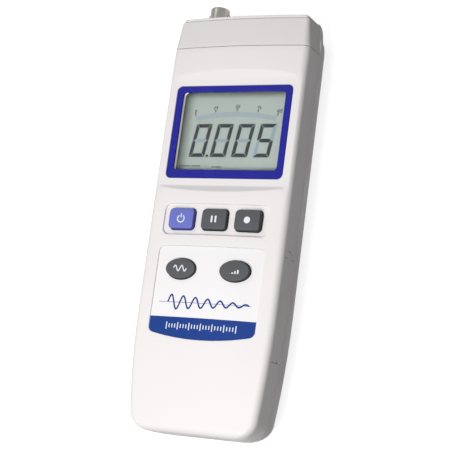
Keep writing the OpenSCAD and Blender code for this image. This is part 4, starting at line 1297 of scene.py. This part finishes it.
class METER_OT_keys(bpy.types.Operator):
    """Build the five keys with their crowned tops"""
    bl_idname = "meter.keys"
    bl_label = "Keys"

    def execute(self, context):
        build_keys()
        build_symbols()
        return {"FINISHED"}


# Label

BAND_Y = 53.4
LABEL_BACK = 0.8
WAVE_Y = 60.4
MARKS_Y, MARKS_LOW, MARKS_PITCH = 49.2, -18.0, 1.5


def build_label():
    """Label film with a blue band, a fading wave and a row of scale marks."""
    holes = [oval(*OVAL, x, OVAL_Y, KEY_GAP) for x in OVAL_X]
    plan, faces = triangulate(label_outline(), [], [across(LABEL_W, BAND_Y, 30)], holes, SKIN_STEP)
    depth = size("label_depth")

    def face(x, y):
        return face_z(y) - crown(x) - depth

    outer = [(x, y, face(x, y)) for x, y in plan]
    inner = [(x, y, face_z(y) - crown(x) - LABEL_BACK) for x, y in plan]
    points, body = thicken(outer, inner, faces)
    indices = [int(sum(points[k][1] for k in corners) / len(corners) < BAND_Y) for corners in body]
    obj = new_object("label_film", points, body, [finishes()["label"], finishes()["band"]], indices=indices)
    finish(obj, "housing", "label", "label")
    art = []
    for loop in (band(across(24.0, WAVE_Y, 30), 0.2), band(wave_path(-19.0, WAVE_Y, 42.0, 3.6, 6.5, 220, 0.85), 0.8)):
        art += [[loop[k], loop[k + 1], loop[-k - 2], loop[-k - 1]] for k in range(len(loop) // 2 - 1)]
    obj = plates("label_wave", art, lambda x, y: face(x, y) - 0.05, lambda x, y: face(x, y) + 0.03, "band")
    finish(obj, "housing", "label")
    marks = []
    for k in range(25):
        x = MARKS_LOW + MARKS_PITCH * k
        tall = 3.4 if k % 4 == 0 else 1.9
        marks.append(((x, MARKS_Y, face_z(49.5) - crown(x) - depth), (0, math.asin(x / CROWN_R), 0), (0.5, tall, 0.06)))
    finish(repeat("label_marks", block("mark", 1, 1, 1), marks, "print"), "housing", "label")


class METER_OT_label(bpy.types.Operator):
    """Build the label with its blue band"""
    bl_idname = "meter.label"
    bl_label = "Label"

    def execute(self, context):
        build_label()
        return {"FINISHED"}


# Solids of the frame that stay, by their finish

KEPT = {
    "lcd": ("display_glass",),
    "white_plastic": ("display_holder", "reset_button", "trimmer_rotor"),
    "rubber": ("zebra_strips", "keypad_mat"),
    "board": ("circuit_board",),
    "chip": ("processor", "amplifier_chips"),
    "can": ("capacitors", "crystal", "trimmer_body"),
    "brass": ("socket_contact",),
    "steel": ("socket_washer",),
    "nickel": ("socket_nut", "power_jack_pin"),
    "black": ("data_jack", "power_jack", "reset_switch", "battery_snap"),
    "battery": ("battery",),
    "lead_red": ("battery_leads",),
}

# Node, piece, body and sharpest smooth angle
COPIED = (
    ("rear_case", "rear_shell", "housing", 24),
    ("battery_door", "door_cover", "battery_door", 30),
    ("tilt_stand", "stand_leg", "tilt_stand", 30),
)


def build_copies():
    """Welded, smooth-shaded copies of the rear shell, the battery door and the stand."""
    for node, name, body, angle in COPIED:
        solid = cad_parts[node]
        mesh = solid.data.copy()
        mesh.name = name
        work = bmesh.new()
        work.from_mesh(mesh)
        bmesh.ops.transform(work, matrix=solid.matrix_world, verts=work.verts)
        bmesh.ops.remove_doubles(work, verts=work.verts, dist=2e-6)
        bmesh.ops.dissolve_limit(work, angle_limit=math.radians(0.5), verts=work.verts, edges=work.edges)
        bmesh.ops.triangulate(work, faces=work.faces)
        bmesh.ops.recalc_face_normals(work, faces=work.faces)
        work.to_mesh(mesh)
        work.free()
        mesh.materials.clear()
        mesh.materials.append(finishes()["shell"])
        shade(mesh, angle)
        finish(linked(name, mesh), body, "shell", node)


# Side cover, outlined in y and z

COVER_LOW, COVER_HIGH, COVER_TIP, NOTCH_Y = 36.55, 85.05, 88.25, 37.5
COVER_Z, TONGUE_Z, NOTCH_Z = (21.65, 32.1), (25.95, 28.85), (25.0, 26.6)
COVER_T, COVER_EDGE, COVER_SINK = 1.7, 0.2, 0.02
COVER_STEP = 0.7


def cover_outline(grow=0.0):
    """Strip with a tongue at its upper end and a notch at its lower end."""
    low, high, tip, notch = COVER_LOW - grow, COVER_HIGH + grow, COVER_TIP + grow, NOTCH_Y - grow
    bottom, top = COVER_Z[0] - grow, COVER_Z[1] + grow
    t_low, t_high = TONGUE_Z[0] - grow, TONGUE_Z[1] + grow
    n_low, n_high = NOTCH_Z[0] + grow, NOTCH_Z[1] - grow
    return fill_in([(low, bottom), (high, bottom), (high, t_low), (tip, t_low), (tip, t_high), (high, t_high),
                    (high, top), (low, top), (low, n_high), (notch, n_high), (notch, n_low), (low, n_low)],
                   COVER_STEP)


def wall_x(y, z):
    """Half width of the front shell's wall at the height z."""
    r, w = size("edge_r"), half_w(y)
    z_arc = face_z(y) - crown(w - SIDE_DRAFT - r) - r
    return w - SIDE_DRAFT * (z - PART_Z) / (z_arc - PART_Z)


def build_side_cover():
    border = cover_outline()
    plan, faces = triangulate(border, [cover_outline(-COVER_EDGE)], [], [], SKIN_STEP)
    outer, inner = [], []
    for (y, z), reach in zip(plan, distance_to(plan, [border])):
        outer.append((wall_x(y, z) - (COVER_EDGE if reach < COVER_EDGE / 2 else COVER_SINK), y, z))
        inner.append((half_w(y) - COVER_T, y, z))
    points, body = thicken(outer, inner, faces)
    finish(new_object("side_cover", points, body, [finishes()["shell"]]), "housing", "shell", "side_panel")


class METER_OT_side_cover(bpy.types.Operator):
    """Build the cover on the right side with its tongue and notch"""
    bl_idname = "meter.side_cover"
    bl_label = "Side cover"

    def execute(self, context):
        build_side_cover()
        return {"FINISHED"}


class METER_OT_copies(bpy.types.Operator):
    """Build the rear shell, the battery door and the stand"""
    bl_idname = "meter.copies"
    bl_label = "Back"

    def execute(self, context):
        build_copies()
        return {"FINISHED"}


# Screws

CASE_SCREWS = [(x, y, 12.0) for x in (-21.6, 21.6) for y in (14.0, 174.0)]
BOARD_SCREWS = [(x, y, 25.7) for x in (-27.8, 27.8) for y in (63.0, 113.5, 184.0)]


def screw(name, r, length, head_r, head_t):
    """Screw that points up from the origin, with a chamfered head and a cross recess."""
    n = 40
    profile = [(r * 0.5, length), (r, length - r * 0.6), (r, 0), (head_r - 0.15, 0), (head_r, -0.15),
               (head_r, 0.45 - head_t), (head_r - 0.15, 0.2 - head_t), (head_r - 0.45, -head_t), (0.4, -head_t)]
    loops = [[(pr * math.cos(2 * math.pi * k / n), pr * math.sin(2 * math.pi * k / n) - SHIFT_Y, z)
              for k in range(n)] for pr, z in profile]
    points, faces = loft_loops(loops)
    obj = new_object(name, points, faces, [finishes()["steel"]])
    cross = []
    for w, h in ((head_r * 1.24, head_r * 0.26), (head_r * 0.26, head_r * 1.24)):
        cutter = block("cross", w, h, head_r * 0.7)
        cutter.data.transform(Matrix.Translation((0, 0, -head_t * MM)))
        cross.append(cutter)
    return carve(obj, cross)


# Piece, places, shank radius and length, head radius and height, and node of each set
SCREW_SETS = (
    ("case_screw_set", CASE_SCREWS, (1.3, 16.0, 2.6, 2.2), "case_screws"),
    ("board_screw_set", BOARD_SCREWS, (1.0, 6.0, 2.0, 1.5), "board_screws"))


def build_screws():
    for name, places, dims, node in SCREW_SETS:
        spots = [(place, (0, 0, 0.35 * k), (1, 1, 1)) for k, place in enumerate(places)]
        finish(repeat(name, screw("screw", *dims), spots, "steel"), "housing", "screw", node)


class METER_OT_screws(bpy.types.Operator):
    """Build the case screws and the board screws"""
    bl_idname = "meter.screws"
    bl_label = "Screws"

    def execute(self, context):
        build_screws()
        return {"FINISHED"}


class METER_OT_kept(bpy.types.Operator):
    """Finish the solids of the frame that stay as they are"""
    bl_idname = "meter.kept"
    bl_label = "Inner parts"

    def execute(self, context):
        for key, nodes in KEPT.items():
            for node in nodes:
                dress(node, finishes()[key])
        return {"FINISHED"}


# Stage

CAMERA_PLACE = (0.282166, -0.137070, 0.590322)
CAMERA_AXES = ((0.898560, 0.130412, -0.419021), (-0.029018, 0.970398, 0.239781),
               (0.437890, -0.203290, 0.875740))
CAMERA_LENS, SENSOR = 108.0, 36.0
WORLD_LIGHT = 0.33
FLOOR_REACH, FLOOR_Z = 3.0, -0.0002
FLOOR_GLOW = 0.8

# Place, aim, size and power of each lamp
LAMPS = {
    "key_lamp": ((-0.01, -0.31, 0.64), (0, 0, 0), 0.4, 4.1),
    "rim_lamp": ((-0.42, 0.62, 0.62), (0, 0.1, 0), 0.3, 0.9),
}


def add_lamp(name, place, aim, width, power):
    light = bpy.data.lights.new(name, "AREA")
    light.shape = "DISK"
    light.size = width
    light.energy = power
    obj = linked(name, light)
    obj.location = place
    obj.rotation_euler = (Vector(aim) - Vector(place)).to_track_quat("-Z", "Y").to_euler()


def seen_share(nodes, links):
    """1 on rays from the camera, in reflections and through glass, and 0 on the others."""
    path = nodes.new("ShaderNodeLightPath")
    share = path.outputs["Is Camera Ray"]
    for kind in ("Is Glossy Ray", "Is Transmission Ray"):
        most = nodes.new("ShaderNodeMath")
        most.operation = "MAXIMUM"
        links.new(share, most.inputs[0])
        links.new(path.outputs[kind], most.inputs[1])
        share = most.outputs[0]
    return share


def mix_seen(tree, unseen, seen, out):
    """Surface that looks like seen where it shows and lights the meter like unseen."""
    mix = tree.nodes.new("ShaderNodeMixShader")
    tree.links.new(seen_share(tree.nodes, tree.links), mix.inputs[0])
    tree.links.new(unseen.outputs[0], mix.inputs[1])
    tree.links.new(seen.outputs[0], mix.inputs[2])
    tree.links.new(mix.outputs[0], tree.nodes[out].inputs["Surface"])


def build_world():
    world = bpy.data.worlds.new("studio")
    bpy.context.scene.world = world
    world.use_nodes = True
    background = world.node_tree.nodes["Background"]
    background.inputs["Color"].default_value = (1, 1, 1, 1)
    background.inputs["Strength"].default_value = WORLD_LIGHT
    shown = new_node(world.node_tree.nodes, "ShaderNodeBackground", Strength=1.0)
    mix_seen(world.node_tree, background, shown, "World Output")


def build_floor():
    """Paper that shows near white to the camera and sends little light back to the meter."""
    mesh = bpy.data.meshes.new("floor")
    corners = [(x * FLOOR_REACH, y * FLOOR_REACH, FLOOR_Z) for x, y in ((-1, -1), (1, -1), (1, 1), (-1, 1))]
    mesh.from_pydata(corners, [], [(0, 1, 2, 3)])
    paper = Finish("floor_paper", (0.5, 0.5, 0.5), 0.8).mottle(3, 0.004)
    lit = paper.add("AddShader")
    glow = paper.add("Emission", Color=(1, 1, 1, 1), Strength=FLOOR_GLOW)
    paper.links.new(paper.shader.outputs[0], lit.inputs[0])
    paper.links.new(glow.outputs[0], lit.inputs[1])
    dark = paper.add("BsdfDiffuse", Color=(0.05, 0.05, 0.05, 1))
    mix_seen(paper.material.node_tree, dark, lit, "Material Output")
    mesh.materials.append(paper.material)
    linked("floor", mesh)


def build_camera():
    camera = bpy.data.cameras.new("camera")
    camera.lens = CAMERA_LENS
    camera.sensor_width = SENSOR
    camera.clip_start = 0.01
    camera.clip_end = 20.0
    obj = linked("camera", camera)
    obj.matrix_world = Matrix.Translation(CAMERA_PLACE) @ Matrix(CAMERA_AXES).transposed().to_4x4()
    bpy.context.scene.camera = obj


class METER_OT_stage(bpy.types.Operator):
    """Set up the floor, the lamps, the world and the camera"""
    bl_idname = "meter.stage"
    bl_label = "Stage"

    def execute(self, context):
        context.scene.view_settings.view_transform = "Standard"
        build_world()
        build_floor()
        for name, lamp in LAMPS.items():
            add_lamp(name, *lamp)
        build_camera()
        return {"FINISHED"}


class METER_PT_panel(bpy.types.Panel):
    """Operators of the meter's pieces"""
    bl_idname = "METER_PT_panel"
    bl_label = "Vibration meter"
    bl_space_type = "VIEW_3D"
    bl_region_type = "UI"
    bl_category = "Meter"

    def draw(self, context):
        for operator in OPERATORS:
            self.layout.operator(operator.bl_idname)
        for name in MeterSizes.__annotations__:
            self.layout.prop(context.scene.meter_sizes, name)
        for name in MeterColours.__annotations__:
            self.layout.prop(context.scene.meter_colours, name)


OPERATORS = (
    METER_OT_front_shell, METER_OT_cap, METER_OT_copies, METER_OT_window, METER_OT_display, METER_OT_socket,
    METER_OT_screws, METER_OT_side_cover, METER_OT_keys, METER_OT_label, METER_OT_kept, METER_OT_stage)
CLASSES = (MeterSizes, MeterColours) + OPERATORS + (METER_PT_panel,)


def register():
    for cls in CLASSES:
        bpy.utils.register_class(cls)
    bpy.types.Scene.meter_sizes = bpy.props.PointerProperty(type=MeterSizes)
    bpy.types.Scene.meter_colours = bpy.props.PointerProperty(type=MeterColours)


def unregister():
    del bpy.types.Scene.meter_colours
    del bpy.types.Scene.meter_sizes
    for cls in reversed(CLASSES):
        bpy.utils.unregister_class(cls)


def main():
    register()
    bpy.ops.meter.front_shell()
    bpy.ops.meter.cap()
    bpy.ops.meter.copies()
    bpy.ops.meter.window()
    bpy.ops.meter.display()
    bpy.ops.meter.socket()
    bpy.ops.meter.screws()
    bpy.ops.meter.side_cover()
    bpy.ops.meter.keys()
    bpy.ops.meter.label()
    bpy.ops.meter.kept()
    bpy.ops.meter.stage()


if __name__ == "__main__":
    main()
